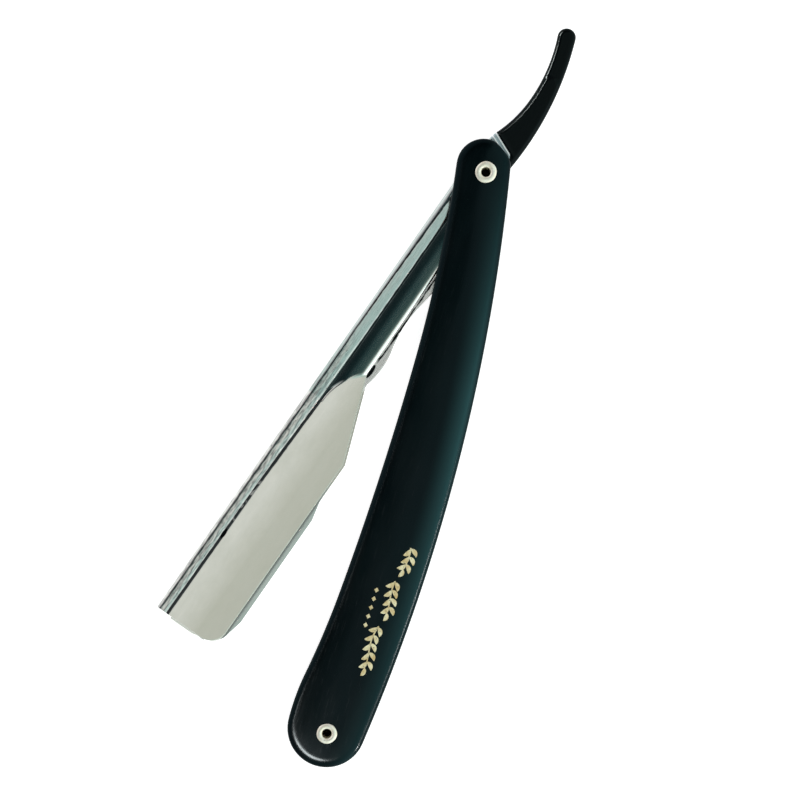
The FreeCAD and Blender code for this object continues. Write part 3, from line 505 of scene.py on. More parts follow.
def holder_steel():
    """Satin sheet with painted shade in the crease, a painted dark reflection along the bead's crest, painted
    shade and highlights on the shank and the tang, and a mottled bead.
    """
    paint = Paint("holder_satin_steel", -HOLDER_TURN)
    u, v = paint.u, paint.v

    def line(middle, half, jag, size):
        """1 on a line along the sheet, ragged by a noise, 0 beside it."""
        ragged = paint.noise(size, (2, 1, 1), 2)
        aside = abs(v - middle) + (ragged - 0.5) * jag
        return (1.0 - (aside - (half - 0.07)) * 7.0).span(0, 1)

    blotch, grain = paint.noise(4.5, (1.6, 1, 1), 4), paint.noise(0.1, (30, 1, 1))
    paint.base(blotch.span(0.32, 0.68), (0.58, 0.59, 0.55), (0.67, 0.67, 0.635))
    paint.coat(paint.noise(0.9).span(0.68, 0.8, 0, 0.15), (0.42, 0.43, 0.4))
    # painted shade: the sheet darker and warmer towards the cutting edge
    paint.coat(v.span(0.8, 6.0, 0, 0.55), (0.4, 0.415, 0.345))

    # the shank: painted shade and painted reflection, darker than the head, either side of its valley, and a
    # painted highlight on its lip
    bend = paint.ellipse(SWEEP_CENTRE).root()
    on_shank = bend.span(SWEEP_RADIUS - 0.1, SWEEP_RADIUS + 0.2)
    on_shank = on_shank * u.span(SWEEP_END.x - 0.3, SWEEP_END.x, 1, 0)
    shade = abs(v - 1.5).span(0.2, 1.0, 0.35, 1) * v.span(2.9, 3.5, 1, 0)
    shaded = paint.mix(v.span(-1.2, -1.0), (0.355, 0.446, 0.413), (0.2, 0.27, 0.255))
    paint.coat(on_shank * shade, shaded)
    # painted highlight on the shank's lip
    paint.coat(on_shank * v.span(3.1, 3.4), (0.95, 0.97, 0.95))

    # the bead, dull on the shank and mottled and specked on the head
    crease = u.span(61.5, 85.0, -1.1, -1.72) + u.span(85.0, TOE_U, 0, -0.12)
    streak, speck = paint.noise(0.28, (7, 1, 1), 4), paint.noise(0.34, (1.5, 1, 1), 2)
    on_bead = ((crease - v) * 4.0).span(0, 1)
    on_head = on_bead * u.span(44, 60, 0.25, 1.0)
    dull = paint.math("MAXIMUM", u.span(44, 60, 0.62, 0), v.span(-4.0, -2.9, 0.2, 0.4))
    paint.coat(dull * on_bead, (0.56, 0.575, 0.575))
    paint.coat(streak.span(0.42, 0.62, 0, 0.8) * on_head, (0.2, 0.2, 0.205))
    paint.coat(speck.span(0.66, 0.7, 0, 0.9) * on_head, (0.02, 0.025, 0.028))

    # painted shade in the crease, broken up by gaps for a stretch, painted shade in the pit, and a painted dark
    # reflection along the bead's crest
    # painted shade in the crease, broken up by gaps between u 85 and 97
    crease_shade = line(crease, u.span(50, 75, 0.24, 0.32), 0.3, 0.8)
    gaps = paint.noise(1.0, (1.6, 1, 1), 1).span(0.42, 0.5, 0.25, 1)
    broken_stretch = u.span(83, 85) * u.span(97, 99, 1, 0)
    paint.coat(crease_shade * paint.math("MAXIMUM", gaps, 1.0 - broken_stretch) * 0.93, (0.012, 0.02, 0.024))
    # painted shade in the pit
    pit = paint.ellipse(PIT, 1 / PIT_HALF_LONG, 1 / PIT_HALF_WIDE)
    paint.coat(pit.span(1.0, 1.3, 1, 0), (0.006, 0.008, 0.009))
    # painted dark reflection along the bead's crest
    crest = u.span(10.0, 35.0, -3.22, -3.67)
    paint.coat(line(crest, 0.13, 0.5, 0.7) * u.span(36, 46, 0.95, 0.4), (0.012, 0.014, 0.016))

    # the pressed strip of the tang beside the sleeve's mouth, painted blue-grey as a painted reflection, with
    # painted highlights on its two ridges
    beyond = (u - MOUTH_LOW.x) * MOUTH_NORMAL.x + (v - MOUTH_LOW.y) * MOUTH_NORMAL.y
    # painted reflection: the strip blue-grey, then painted highlights on its two ridges
    strip = beyond.span(1.6, 1.8, 1, 0)
    paint.coat(strip, (0.4, 0.5, 0.53))
    for place in (0.18, 1.12):
        paint.coat(abs(beyond - place).span(0.1, 0.2, 1, 0), (0.95, 0.98, 0.98))

    sheen = blotch.span(0.3, 0.7, 0.13, 0.16) + grain.span(0.35, 0.7, 0, 0.04)
    return paint.finish((blotch, 0.006), (grain, 0.0004), (streak * on_head, 0.02),
                        Roughness=sheen + crease_shade * 0.3 + strip * 0.2, Metallic=strip.span(0, 1, 1.0, 0.25))


def carrier_steel():
    """Brighter sheet, with painted shade in the seam beside the shank, a painted dark oval of shade near the head,
    painted shade under the leaves' edge and a painted highlight on its toe end.
    """
    paint = Paint("carrier_sheet_steel", -HOLDER_TURN)
    u, v = paint.u, paint.v
    blotch, grain = paint.noise(2.5, (2, 1, 1), 4), paint.noise(0.12, (24, 1, 1))
    paint.base(blotch.span(0.32, 0.68), (0.62, 0.6, 0.59), (0.82, 0.8, 0.79))
    # painted shade in the seam beside the shank and in a dark oval near the head
    ragged = paint.noise(0.9, (2.5, 1, 1), 2).span(0.3, 0.7, -0.14, 0.2)
    aside = abs(v - u.span(24, 48, 4.28, 4.42)) + ragged
    seam_shade = aside.span(0.15, 0.3, 1, 0) * u.span(47, 48.2, 1, 0)
    opening_shade = paint.ellipse((50.2, 4.3), 0.55, 1.9).span(0.8, 1.1, 1, 0)
    dark = paint.math("MAXIMUM", seam_shade, opening_shade)
    paint.coat(dark, (0.008, 0.01, 0.011))
    # painted shade under the leaves' edge
    paint.coat(v.span(10.8, 11.15) * u.span(66, 72), (0.27, 0.29, 0.28))
    # painted highlight on the toe end
    toe = u.span(TOE_U - 0.15, TOE_U)
    paint.coat(toe, (0.95, 0.94, 0.88))
    rough = grain.span(0.3, 0.7, 0.22, 0.3) + dark * 0.4
    return paint.finish((blotch, 0.004), (grain, 0.0006), Roughness=rough,
                        Metallic=toe.span(0, 1, 1.0, 0.3))


def brass(name, dark, light, rough):
    """Bright pressed brass with a thin tarnish in its low spots."""
    paint = Paint(name)
    cloud, spots = paint.noise(0.9, detail=4), paint.noise(0.3)
    paint.base(cloud.span(0.35, 0.7), dark, light)
    paint.coat(spots.span(0.64, 0.76, 0, 0.5), tuple(0.55 * part for part in dark))
    return paint.finish((spots, 0.006), Roughness=spots.span(0.3, 0.7, rough, rough + 0.14), Metallic=0.6)


def foil_gold():
    """Hot-stamped pale gold, worn thin in places down to the plastic under it."""
    paint = Paint("gold_foil")
    wear, shade = paint.noise(0.55, detail=4), paint.noise(1.6)
    paint.base(shade.span(0.35, 0.65), (0.74, 0.54, 0.24), (1.0, 0.9, 0.6))
    paint.coat(wear.span(0.6, 0.7, 0, 0.85), (0.05, 0.055, 0.03))
    return paint.finish((wear, 0.01), Roughness=wear.span(0.3, 0.7, 0.36, 0.55),
                        Metallic=wear.span(0.6, 0.7, 0.55, 0.1))


# ---- the scales ----

SCALE_SPACING = 0.7
SCALE_ROUND, SCALE_ROUND_DEPTH = 2.1, 0.9
SCALE_CROWN = 0.34
CROWN_REACH = 8.8
INNER_EASE = 0.25
BORE_RADIUS = 1.5
COUNTERBORE_RADIUS = 3.0


def direction(turn):
    return Vector((math.cos(turn), math.sin(turn)))


def scale_outline():
    """Back arc, round ends with a flat beside the tang, and a hollow edge that flares to the butt's heel."""
    back_at_pivot = toward(BACK_CENTRE, PIVOT_END, BACK_RADIUS)
    back_at_butt = toward(BACK_CENTRE, BUTT_END, BACK_RADIUS)
    reach = HOLLOW_TOP.x - PIVOT_END.x
    drop = PIVOT_END.y - HOLLOW_TOP.y
    neck_radius = (reach ** 2 + drop ** 2 - PIVOT_END_RADIUS ** 2) / (2 * (PIVOT_END_RADIUS - drop))
    neck = HOLLOW_TOP - Vector((0, neck_radius))
    hollow = HOLLOW_TOP - Vector((0, HOLLOW_RADIUS))
    flare_start = on_circle(hollow, HOLLOW_RADIUS, FLARE_X)
    flare = toward(flare_start, hollow, FLARE_RADIUS)
    heel = meet(flare, FLARE_RADIUS + HEEL_RADIUS, BUTT_END, HEEL_RADIUS - BUTT_END_RADIUS, True)
    inner_reach = PIVOT_END_RADIUS - FLAT_CORNER
    half_flat = math.acos((FLAT_REACH - FLAT_CORNER) / inner_reach)
    outwards = direction(FLAT_TURN) * FLAT_CORNER
    before, after = direction(FLAT_TURN - half_flat), direction(FLAT_TURN + half_flat)
    first, last = PIVOT_END + before * inner_reach, PIVOT_END + after * inner_reach
    return trace(back_at_pivot, [
        (PIVOT_END + before * PIVOT_END_RADIUS, PIVOT_END, 1),
        (first + outwards, first, 1),
        last + outwards,
        (PIVOT_END + after * PIVOT_END_RADIUS, last, 1),
        (toward(PIVOT_END, neck, PIVOT_END_RADIUS), PIVOT_END, 1),
        (HOLLOW_TOP, neck, -1),
        (flare_start, hollow, -1),
        (toward(flare, heel, FLARE_RADIUS), flare, -1),
        (toward(heel, BUTT_END, HEEL_RADIUS), heel, 1),
        (back_at_butt, BUTT_END, 1),
        (back_at_pivot, BACK_CENTRE, 1),
    ], SCALE_SPACING)


SCALE_OUTLINE = scale_outline()


def crown_drop(places):
    """How far the crowned face lies under its highest level."""
    share = np.clip(distance_to(SCALE_OUTLINE, places) / CROWN_REACH, 0, 1)
    return SCALE_CROWN * (1 - share) ** 2


def make_scales():
    low, high = levels("front_scale")
    outer_rim = quarter_round(SCALE_ROUND, 12, (2.4, 2.9, 3.6), SCALE_ROUND_DEPTH)
    inner_rim = [(0.0, INNER_EASE), (INNER_EASE, 0.0), (1.5, 0.0)]
    shell = plate(SCALE_OUTLINE, outer_rim, lambda places: high - crown_drop(places), 1.3,
                  level_face(low), inner_rim)
    front = shell.make("front_scale_shell")
    rear = shell.make("rear_scale_shell")
    rear.data.transform(Matrix.Scale(-1, 4, (0, 0, 1)))
    rear.data.flip_normals()
    seat = levels("pivot_clinch_washer")[1]
    for x in (0.0, BUTT_X):
        carve(front, drum("bore", x, 0.0, BORE_RADIUS, low - 1, high + 1))
        carve(rear, drum("bore", x, 0.0, BORE_RADIUS, -high - 1, 1 - low),
              drum("seat", x, 0.0, COUNTERBORE_RADIUS, -high - 1, seat))
    material = scale_plastic()
    dress(front, "handle", material, "scales", "front_scale")
    dress(rear, "handle", material, "scales", "rear_scale")


# ---- eyelets ----

EYELET_BORE = named(MOUNTS, "pivot_bore")["dims"]["r_mm"]
EYELET_BARREL = 1.45
FLANGE_LIP = 0.1
EYELET_SEGMENTS = 120


def flange_profile(rim, seat, crest, side):
    """Half of the eyelet's section, from the bore over the curled flange to its foot, for one side."""
    middle = EYELET_BORE + 0.44 * (rim - EYELET_BORE)
    half_in, half_out = middle - EYELET_BORE, rim - middle
    rise = abs(crest - seat)
    points = []
    for k in range(9):
        angle = math.pi / 2 * k / 8
        points.append((middle - half_in * math.cos(angle), crest - side * rise * 0.8 * (1 - math.sin(angle))))
    for k in range(1, 10):
        angle = math.pi / 2 * k / 9
        fall = (rise - FLANGE_LIP) * (1 - math.cos(angle))
        points.append((middle + half_out * math.sin(angle), crest - side * fall))
    return points + [(rim - 0.04, seat), (EYELET_BARREL, seat)]


def make_eyelet(node, x, phase, splits, material):
    """A rolled eyelet: its front flange a little out of round, its rear one split as it was clinched."""
    low, high = levels(node)
    rim = (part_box(node)[1].x / MM) - x
    front = flange_profile(rim, levels("front_scale")[1] - 0.02, high, 1)
    rear = flange_profile(rim, levels("pivot_clinch_washer")[0], low, -1)
    profile = rear + front[::-1]

    def wobble(turn, index):
        if profile[index][0] <= EYELET_BARREL + 0.3:
            return 0.0
        if index >= len(rear):
            return 0.03 * math.cos(2 * turn + phase) + 0.02 * math.cos(5 * turn + 2 * phase) - 0.05
        return -0.16 * max(0.0, math.cos(splits * turn)) ** 12 - 0.04

    eyelet = lathe(profile, EYELET_SEGMENTS, x, wobble).make(node + "_rolled")
    dress(eyelet, "handle", material, "eyelets", node, crease=50)


def make_eyelets():
    material = brass("eyelet_brass", (0.93, 0.86, 0.7), (1.0, 0.97, 0.88), 0.3)
    make_eyelet("pivot_eyelet", 0.0, 0.6, 6, material)
    make_eyelet("butt_eyelet", BUTT_X, 2.2, 7, material)


# ---- the generic gold ornament ----

FOIL_HIGH = 0.025
FOIL_DEEP = 0.05
VINE_START, VINE_END = Vector((83.3, 6.6)), Vector((114.0, 3.3))
VINE_WAVE, VINE_WAVES = 0.45, 2.5
ROW_START, ROW_STEP = Vector((94.5, 1.9)), Vector((2.0, -0.06))


def ribbon(shell, line, widths):
    """A thin raised stroke that lies on the front scale's crowned face."""
    line = np.array(line)
    along = np.gradient(line, axis=0)
    along /= np.linalg.norm(along, axis=1)[:, None]
    side = np.stack([-along[:, 1], along[:, 0]], 1) * np.array(widths)[:, None] / 2
    top = levels("front_scale")[1]
    rows = []
    for places, lift in ((line + side, FOIL_HIGH), (line - side, FOIL_HIGH),
                         (line - side, -FOIL_DEEP), (line + side, -FOIL_DEEP)):
        rows.append(shell.add(np.column_stack([places, top - crown_drop(places) + lift])))
    sections = list(zip(*rows))
    for first, second in zip(sections, sections[1:]):
        shell.bridge(second, first)
    shell.cap(sections[0])
    shell.cap(sections[-1], flip=True)


def vine_point(share):
    """A place on the wavy stem, with its direction."""
    straight = VINE_END - VINE_START
    side = Vector((-straight.y, straight.x)).normalized()
    phase = TAU * VINE_WAVES * share
    place = VINE_START + straight * share + side * VINE_WAVE * math.sin(phase)
    heading = straight + side * VINE_WAVE * TAU * VINE_WAVES * math.cos(phase)
    return place, heading.normalized()


def leaf(shell, root, heading, length, width):
    """A pointed leaf with a slight curve, thick in its middle."""
    side = Vector((-heading.y, heading.x))
    line, widths = [], []
    for k in range(13):
        share = k / 12
        line.append(root + heading * length * share + side * 0.16 * length * math.sin(math.pi * share))
        widths.append(0.06 + width * math.sin(math.pi * share) ** 0.8)
    ribbon(shell, line, widths)


def sprig(shell, first, last):
    """One stretch of laurel: a stem with a pair of leaves at every node and one at its tip."""
    count = 24
    stem = [vine_point(first + (last - first) * k / count)[0] for k in range(count + 1)]
    ribbon(shell, stem, [0.34 - 0.12 * k / count for k in range(count + 1)])
    pairs = max(2, round((last - first) * 17))
    for index in range(pairs):
        place, heading = vine_point(first + (last - first) * (index + 0.12) / pairs)
        for turn in (1, -1):
            side = Vector((-heading.y, heading.x)) * turn
            leaf(shell, place, (heading * 1.15 + side).normalized(), 2.15, 0.92)
    tip, heading = vine_point(last)
    leaf(shell, tip - heading * 0.3, heading, 1.9, 0.9)


def make_ornament():
    """Three laurel sprigs and a row of lozenges: an ornament with no letters in it."""
    shell = Shell()
    sprig(shell, 0.01, 0.18)
    sprig(shell, 0.27, 0.51)
    sprig(shell, 0.61, 0.93)
    for index in range(5):
        middle = ROW_START + ROW_STEP * index
        line = [middle + Vector((0.55 * (k / 4 - 1), 0)) for k in range(9)]
        ribbon(shell, line, [0.05 + 0.95 * (1 - abs(k / 4 - 1)) for k in range(9)])
    piece = shell.make("gold_scroll_ornament")
    dress(piece, "handle", foil_gold(), None)


# ---- the folded blade holder ----

TOE_U = 119.4
TOE_CENTRE = Vector((115.5, 7.25))
TOE_RADIUS = 3.9
REVEAL = 0.35
SPINE_V = -4.6
SHANK_EDGE_V = 4.05
KINK = Vector((54.5, 5.3))
SHOULDER_U, LEAF_EDGE_V = 70.4, 11.15
SWEEP_START, SWEEP_END = Vector((51.3, 4.05)), Vector((61.5, -0.95))
SWEEP_RADIUS = (SWEEP_END - SWEEP_START).length_squared / (2 * (SWEEP_START.y - SWEEP_END.y))
SWEEP_CENTRE = SWEEP_END + Vector((0, SWEEP_RADIUS))
SLOT_HEEL_U = 20.5
SLOT_HALF = 0.45
SEAM_HALF = 0.07
TONGUE_END_U = -24.6
TAIL_WALL = 0.75
TONGUE_HALF = 0.6
TANG_HALF = 1.1
BUSH_RADIUS = 2.1
LEAF_RIM = 0.16
PIT, PIT_HALF_LONG, PIT_HALF_WIDE, PIT_FLOOR_W = Vector((97.8, -1.74)), 1.15, 0.42, 0.75

TAIL_CREST, TAIL_TOP_RADIUS = Vector((-10.0, 4.18)), 70.0
TAIL_WAIST, TAIL_NECK_RADIUS = Vector((-19.0, -1.24)), 28.0
TAIL_TIP_U, TAIL_TIP_RADIUS = -34.6, 2.03
MOUTH_TOP_U, MOUTH_LOW_U = -3.5, -8.7
MOUTH_BEND = Vector((-6.45, 2.0))


def tail_curves(inwards):
    """Circles (centre, radius) of the tail's crest, underside and neck, moved in, its waist and its tip."""
    crest = TAIL_CREST - Vector((0, TAIL_TOP_RADIUS))
    tip = on_circle(crest, TAIL_TOP_RADIUS - TAIL_TIP_RADIUS, TAIL_TIP_U)
    reach = tip.x - TAIL_WAIST.x
    drop = TAIL_WAIST.y - tip.y
    under_radius = (reach ** 2 + drop ** 2 - TAIL_TIP_RADIUS ** 2) / (2 * (TAIL_TIP_RADIUS + drop))
    under, neck = (TAIL_WAIST - Vector((0, radius)) for radius in (under_radius, TAIL_NECK_RADIUS))
    return ((crest, TAIL_TOP_RADIUS - inwards), (under, under_radius + inwards),
            (neck, TAIL_NECK_RADIUS + inwards), TAIL_WAIST + Vector((0, inwards)), tip)


TONGUE_TOP, TONGUE_UNDER, TONGUE_NECK, TONGUE_WAIST, _ = tail_curves(TAIL_WALL)
TAIL_TOP, TAIL_UNDER, TAIL_NECK, _, TAIL_TIP = tail_curves(0.0)
MOUTH_TOP = on_circle(*TAIL_TOP, MOUTH_TOP_U)
MOUTH_LOW = on_circle(*TAIL_NECK, MOUTH_LOW_U)
MOUTH_NORMAL = Vector(((MOUTH_BEND - MOUTH_LOW).y, -(MOUTH_BEND - MOUTH_LOW).x)).normalized()

# shape of the rolled spine along u: crest place and height, crease place and depth, and squareness
SPINE_KEYS = {
    "u": (MOUTH_LOW_U, 4.0, 10.0, 35.0, 45.0, 49.5, 56.0, 61.5, 75.0, 85.0, TOE_U),
    "crest_v": (-3.9, -3.9, -3.1, -3.55, -3.65, -3.5, -3.5, -3.5, -3.6, -3.65, -3.68),
    "crest_w": (1.1, 1.1, 1.28, 1.3, 1.3, 1.5, 1.66, 1.62, 1.5, 1.44, 1.34),
    "crease_v": (-2.4, -2.4, -1.2, -1.2, -1.2, -1.22, -1.26, -1.34, -1.78, -2.0, -2.12),
    "crease_w": (1.1, 1.1, 0.76, 0.74, 0.74, 0.78, 0.88, 0.98, 1.08, 1.08, 1.06),
    "leaf_v": (-2.0, -2.0, -0.85, -0.85, -0.85, -0.85, -0.86, -0.88, -1.22, -1.42, -1.54),
    "squareness": (4.0, 4.0, 6.0, 6.0, 5.0, 2.8, 2.7, 2.6, 2.5, 2.5, 2.5),
}


def spine_key(name, u):
    return float(np.interp(u, SPINE_KEYS["u"], SPINE_KEYS[name]))


def lower_v(u):
    """The silhouette on the spine side: tongue, heel of the tang, then the straight spine."""
    if u < MOUTH_LOW_U:
        return on_circle(*(TONGUE_UNDER if u < TAIL_WAIST.x else TONGUE_NECK), u).y
    return float(np.interp(u, (MOUTH_LOW_U, -4.2, -1.5, 0.0), (-3.25, -4.35, SPINE_V, SPINE_V)))


def upper_v(u, reveal):
    """The silhouette on the cutting side, for the front leaf (no reveal) or the rear one."""
    if u < MOUTH_BEND.x:
        return on_circle(*TONGUE_TOP, u).y
    if u <= TOE_CENTRE.x:
        stops = (MOUTH_BEND.x, MOUTH_TOP_U, 13.0, SWEEP_START.x, KINK.x, SHOULDER_U, TOE_CENTRE.x)
        tail_v = on_circle(*TONGUE_TOP, MOUTH_BEND.x).y
        edge = (tail_v, MOUTH_TOP.y - 0.03, SHANK_EDGE_V, SHANK_EDGE_V, KINK.y, LEAF_EDGE_V, LEAF_EDGE_V)
        return float(np.interp(u, stops, edge)) + smooth(SWEEP_START.x, KINK.x, u) * reveal
    share = min(1.0, (u - TOE_CENTRE.x) / (TOE_U - TOE_CENTRE.x))
    return TOE_CENTRE.y + (TOE_RADIUS + reveal) * math.sqrt(max(0.0, 1 - share ** 2))


def sweep_distance(u, v):
    """Signed distance from the swept front of the head: positive on the head's side."""
    round_part = SWEEP_RADIUS - (Vector((u, v)) - SWEEP_CENTRE).length
    return max(round_part, u - SWEEP_END.x)


def flank_height(v):
    """The shank's side: it climbs from the crease, levels off at the ridge and drops to its lip."""
    ridge_v, ridge_w, climb = 3.35, 1.25, 0.0235
    if v < ridge_v:
        return ridge_w - climb * (ridge_v - v) ** 2
    return ridge_w - 0.62 * (v - ridge_v) ** 1.6


def head_height(v):
    """The head's flat leaf, which thins a little towards its edge and has a faint dish."""
    along = v + 1.8
    return 1.27 - 0.05 * along + 0.0011 * along ** 2


def tang_height(u, v):
    """The plain tang, pressed thin for the tongue, with two soft ridges beside the sleeve's mouth."""
    beyond = (Vector((u, v)) - MOUTH_LOW).dot(MOUTH_NORMAL)
    if v > MOUTH_BEND.y:
        lobe = MOUTH_TOP - MOUTH_BEND
        beyond = min(beyond, (Vector((u, v)) - MOUTH_BEND).dot(Vector((lobe.y, -lobe.x)).normalized()))
    base = TONGUE_HALF + (TANG_HALF - TONGUE_HALF) * float(smooth(-0.25, 0.0, beyond))
    ridges = sum(0.16 * math.exp(-((beyond - place) / 0.2) ** 2) for place in (0.28, 1.15))
    return base + ridges * float(smooth(-0.05, 0.1, beyond))


def leaf_height(u, v):
    if u < 12.0:
        share = float(smooth(5.0, 12.0, u))
        return (1 - share) * tang_height(u, v) + share * flank_height(v)
    head = float(smooth(-0.3, 0.3, sweep_distance(u, v)))
    return (1 - head) * flank_height(v) + head * head_height(v)


def waviness(u, v, side):
    """Small unevenness that rolling and pressing leave, strongest on the bead."""
    long_wave = noise.noise(Vector((u * 0.45, v * 0.7, side * 9.0)))
    short_wave = noise.noise(Vector((u * 1.3, v * 1.1, 4.0 + side * 9.0)))
    return 0.012 * long_wave + 0.014 * short_wave


BACK_STEPS, CROWN_STEPS, LEAF_STEPS = 12, 16, 50


def round_drop(distance, radius):
    """How far a quarter-round edge has fallen, at a distance in from its rim."""
    return radius * (1 - math.sqrt(max(0.0, 1 - (1 - min(distance, radius) / radius) ** 2)))


def section(u, side):
    """Outer (v, w) points at u from the spine's middle to the lip, for the front or the rear half."""
    low, high = lower_v(u), upper_v(u, 0.0 if side > 0 else REVEAL)
    shift = low - SPINE_V
    crest_v, crease_v = spine_key("crest_v", u) + shift, spine_key("crease_v", u) + shift
    crest_w, crease_w = spine_key("crest_w", u) - round_drop(TOE_U - u, 0.12), spine_key("crease_w", u)
    groove_width = spine_key("leaf_v", u) - spine_key("crease_v", u)
    power = spine_key("squareness", u)
    flat = float(smooth(4.0, -4.0, u)) if u < 4.0 else 0.0
    points = []
    for k in range(BACK_STEPS):
        angle = math.pi / 2 * k / BACK_STEPS
        back_v = low + (crest_v - low) * (1 - math.cos(angle) ** 0.85)
        points.append((back_v, crest_w * math.sin(angle) ** 0.85))
    for k in range(CROWN_STEPS):
        share = math.sin(math.pi / 2 * k / CROWN_STEPS)
        fall = (1 - share ** power) ** (1 / power)
        tilt = 0.11 * share * (crease_v - crest_v) * min(1.0, (power - 2.5) / 2)
        points.append((crest_v + (crease_v - crest_v) * share, crease_w + (crest_w - crease_w) * fall - tilt))
    for k in range(LEAF_STEPS + 1):
        share = k / LEAF_STEPS
        share -= 0.5 * math.sin(TAU * share) / TAU
        v = crease_v + (high - crease_v) * min(1.0, max(0.0, share))
        groove = min(1.0, max(0.0, (v - crease_v) / groove_width))
        groove = 0.5 * groove + 0.5 * float(smooth(0.0, 1.0, groove))
        points.append((v, crease_w + (leaf_height(u, v) - crease_w) * groove))
    shaped = []
    for index, (v, w) in enumerate(points):
        if u < 4.0:
            plain = tang_height(u, v) - round_drop(v - low, 0.3)
            w = (1 - flat) * w + flat * min(plain, w if index < BACK_STEPS else plain)
        w -= round_drop(min(high - v, toe_edge(u, v)), LEAF_RIM)
        if index:
            share = 1.0 if index < BACK_STEPS + CROWN_STEPS else 0.12
            w += waviness(u, v, side) * min(1.0, index / 4) * share
        shaped.append((v, side * max(w, 0.0)))
    return shaped


def toe_edge(u, v):
    """Distance in from the toe: the round corner above, the square end below."""
    if v > TOE_CENTRE.y and u > TOE_CENTRE.x:
        return max(0.0, TOE_RADIUS - (Vector((u, v)) - TOE_CENTRE).length)
    return TOE_U - u


SLOT_STEPS, SEAM_STEPS, HOLLOW_STEPS = 10, 6, 9
BEAD_HOLLOW_V, BEAD_HOLLOW_RADIUS = -3.2, 0.8
SLOT_END_V = -0.9


def inner_section(u):
    """Inner (v, w) points at u from the front lip, round the bead's hollow, to the rear lip."""
    hollow = 0.12 + (BEAD_HOLLOW_RADIUS - 0.12) * float(smooth(47.0, 50.0, u))
    front_v, rear_v = upper_v(u, 0.0), upper_v(u, REVEAL)
    start = math.asin(min(1.0, SEAM_HALF / hollow))
    seam_end = BEAD_HOLLOW_V + hollow * math.cos(start)
    front = [(front_v + (SLOT_END_V - front_v) * k / SLOT_STEPS, SLOT_HALF) for k in range(SLOT_STEPS)]
    for k in range(SEAM_STEPS):
        share = k / SEAM_STEPS
        front.append((SLOT_END_V + (seam_end - SLOT_END_V) * share,
                      SEAM_HALF + (SLOT_HALF - SEAM_HALF) * (1 - smooth(0.0, 0.35, share))))
    for k in range(HOLLOW_STEPS):
        angle = start + (math.pi - start) * k / HOLLOW_STEPS
        front.append((BEAD_HOLLOW_V + hollow * math.cos(angle), hollow * math.sin(angle)))
    stretch = (rear_v - SLOT_END_V) / (front_v - SLOT_END_V)
    rear = [(v if v < SLOT_END_V else SLOT_END_V + (v - SLOT_END_V) * stretch, -w)
            for v, w in reversed(front)]
    return front + [(BEAD_HOLLOW_V - hollow, 0.0)] + rear


def stations():
    """Places along u: even steps, closer at the sweep and the kink, and closest round the toe."""
    coarse, fine = 0.62, 0.2
    places = [TONGUE_END_U]
    while places[-1] < TOE_CENTRE.x - coarse:
        here = places[-1]
        near = 48.5 < here < 63.0 or 95.5 < here < 99.5 or -10.0 < here < -4.5
        places.append(here + (fine if near else coarse))
    toe = [TOE_CENTRE.x + TOE_RADIUS * math.sin(math.pi / 2 * k / 22) for k in range(22)]
    last = [TOE_U - back for back in (0.08, 0.04, 0.015, 0.0)]
    return sorted({round(u, 4) for u in places + [SLOT_HEEL_U] + [u for u in toe if u < TOE_U - 0.1] + last})


def make_holder():
    shell = Shell()
    places = stations()
    outer_rows, inner_rows = [], []
    for u in places:
        around = section(u, 1)[::-1] + section(u, -1)[1:]
        outer_rows.append(shell.add([(u, *place) for place in around]))
        if u >= SLOT_HEEL_U:
            inner_rows.append(shell.add([(u, *place) for place in inner_section(u)]))
    for u, row, following in zip(places, outer_rows, outer_rows[1:]):
        shell.bridge(row, following, closed=u < SLOT_HEEL_U)
    for row, following in zip(inner_rows, inner_rows[1:]):
        shell.bridge(following, row, closed=False)
    slotted = outer_rows[-len(inner_rows):]
    lips = list(zip(slotted, inner_rows))
    for (outer, inner), (outer_next, inner_next) in zip(lips, lips[1:]):
        shell.faces.append((outer_next[0], inner_next[0], inner[0], outer[0]))
        shell.faces.append((outer[-1], inner[-1], inner_next[-1], outer_next[-1]))
    shell.cap([slotted[0][0]] + inner_rows[0] + [slotted[0][-1]])
    shell.cap(outer_rows[0])
    shell.cap(slotted[-1] + inner_rows[-1][::-1], flip=True)
    holder = shell.make("folded_blade_holder", IN_HOLDER)
    pit = oval(*PIT, PIT_HALF_LONG, PIT_HALF_WIDE, 24)
    carve(holder, drum("bore", 0.0, 0.0, BUSH_RADIUS, -3, 3),
          Shell().prism(pit, PIT_FLOOR_W, 3.0).make("pit", IN_HOLDER))
    dress(holder, "holder", holder_steel(), "holder_steel", "blade_holder", crease=80)


# ---- the tail's sleeve ----

SLEEVE_ROUND = 0.85
SLEEVE_SWELL = 0.2
SWELL_WIDTH = 0.2
TAIL_SPACING = 0.3


def sleeve_outline():
    """The tail's outline, carried on past the mouth to a round end that the mouth's cut takes off."""
    past_top, past_low = on_circle(*TAIL_TOP, MOUTH_TOP_U + 1.0), on_circle(*TAIL_NECK, MOUTH_LOW_U + 3.5)
    return trace(past_top, [
        (toward(TAIL_TOP[0], TAIL_TIP, TAIL_TOP[1]), TAIL_TOP[0], 1),
        (toward(TAIL_UNDER[0], TAIL_TIP, TAIL_UNDER[1]), TAIL_TIP, 1),
        (TAIL_WAIST, TAIL_UNDER[0], -1),
        (past_low, TAIL_NECK[0], -1),
        (past_top, (past_top + past_low) / 2, 1),
    ], TAIL_SPACING)


def tongue_outline(root_u):
    end_top, end_low = (on_circle(*circle, TONGUE_END_U + 0.6) for circle in (TONGUE_TOP, TONGUE_UNDER))
    root_top, root_low = (on_circle(*circle, root_u) for circle in (TONGUE_TOP, TONGUE_NECK))
    return trace(root_top, [
        (end_top, TONGUE_TOP[0], 1),
        (end_low, (end_top + end_low) / 2, 1),
        (TONGUE_WAIST, TONGUE_UNDER[0], -1),
        (root_low, TONGUE_NECK[0], -1),
        root_top,
    ], TAIL_SPACING)


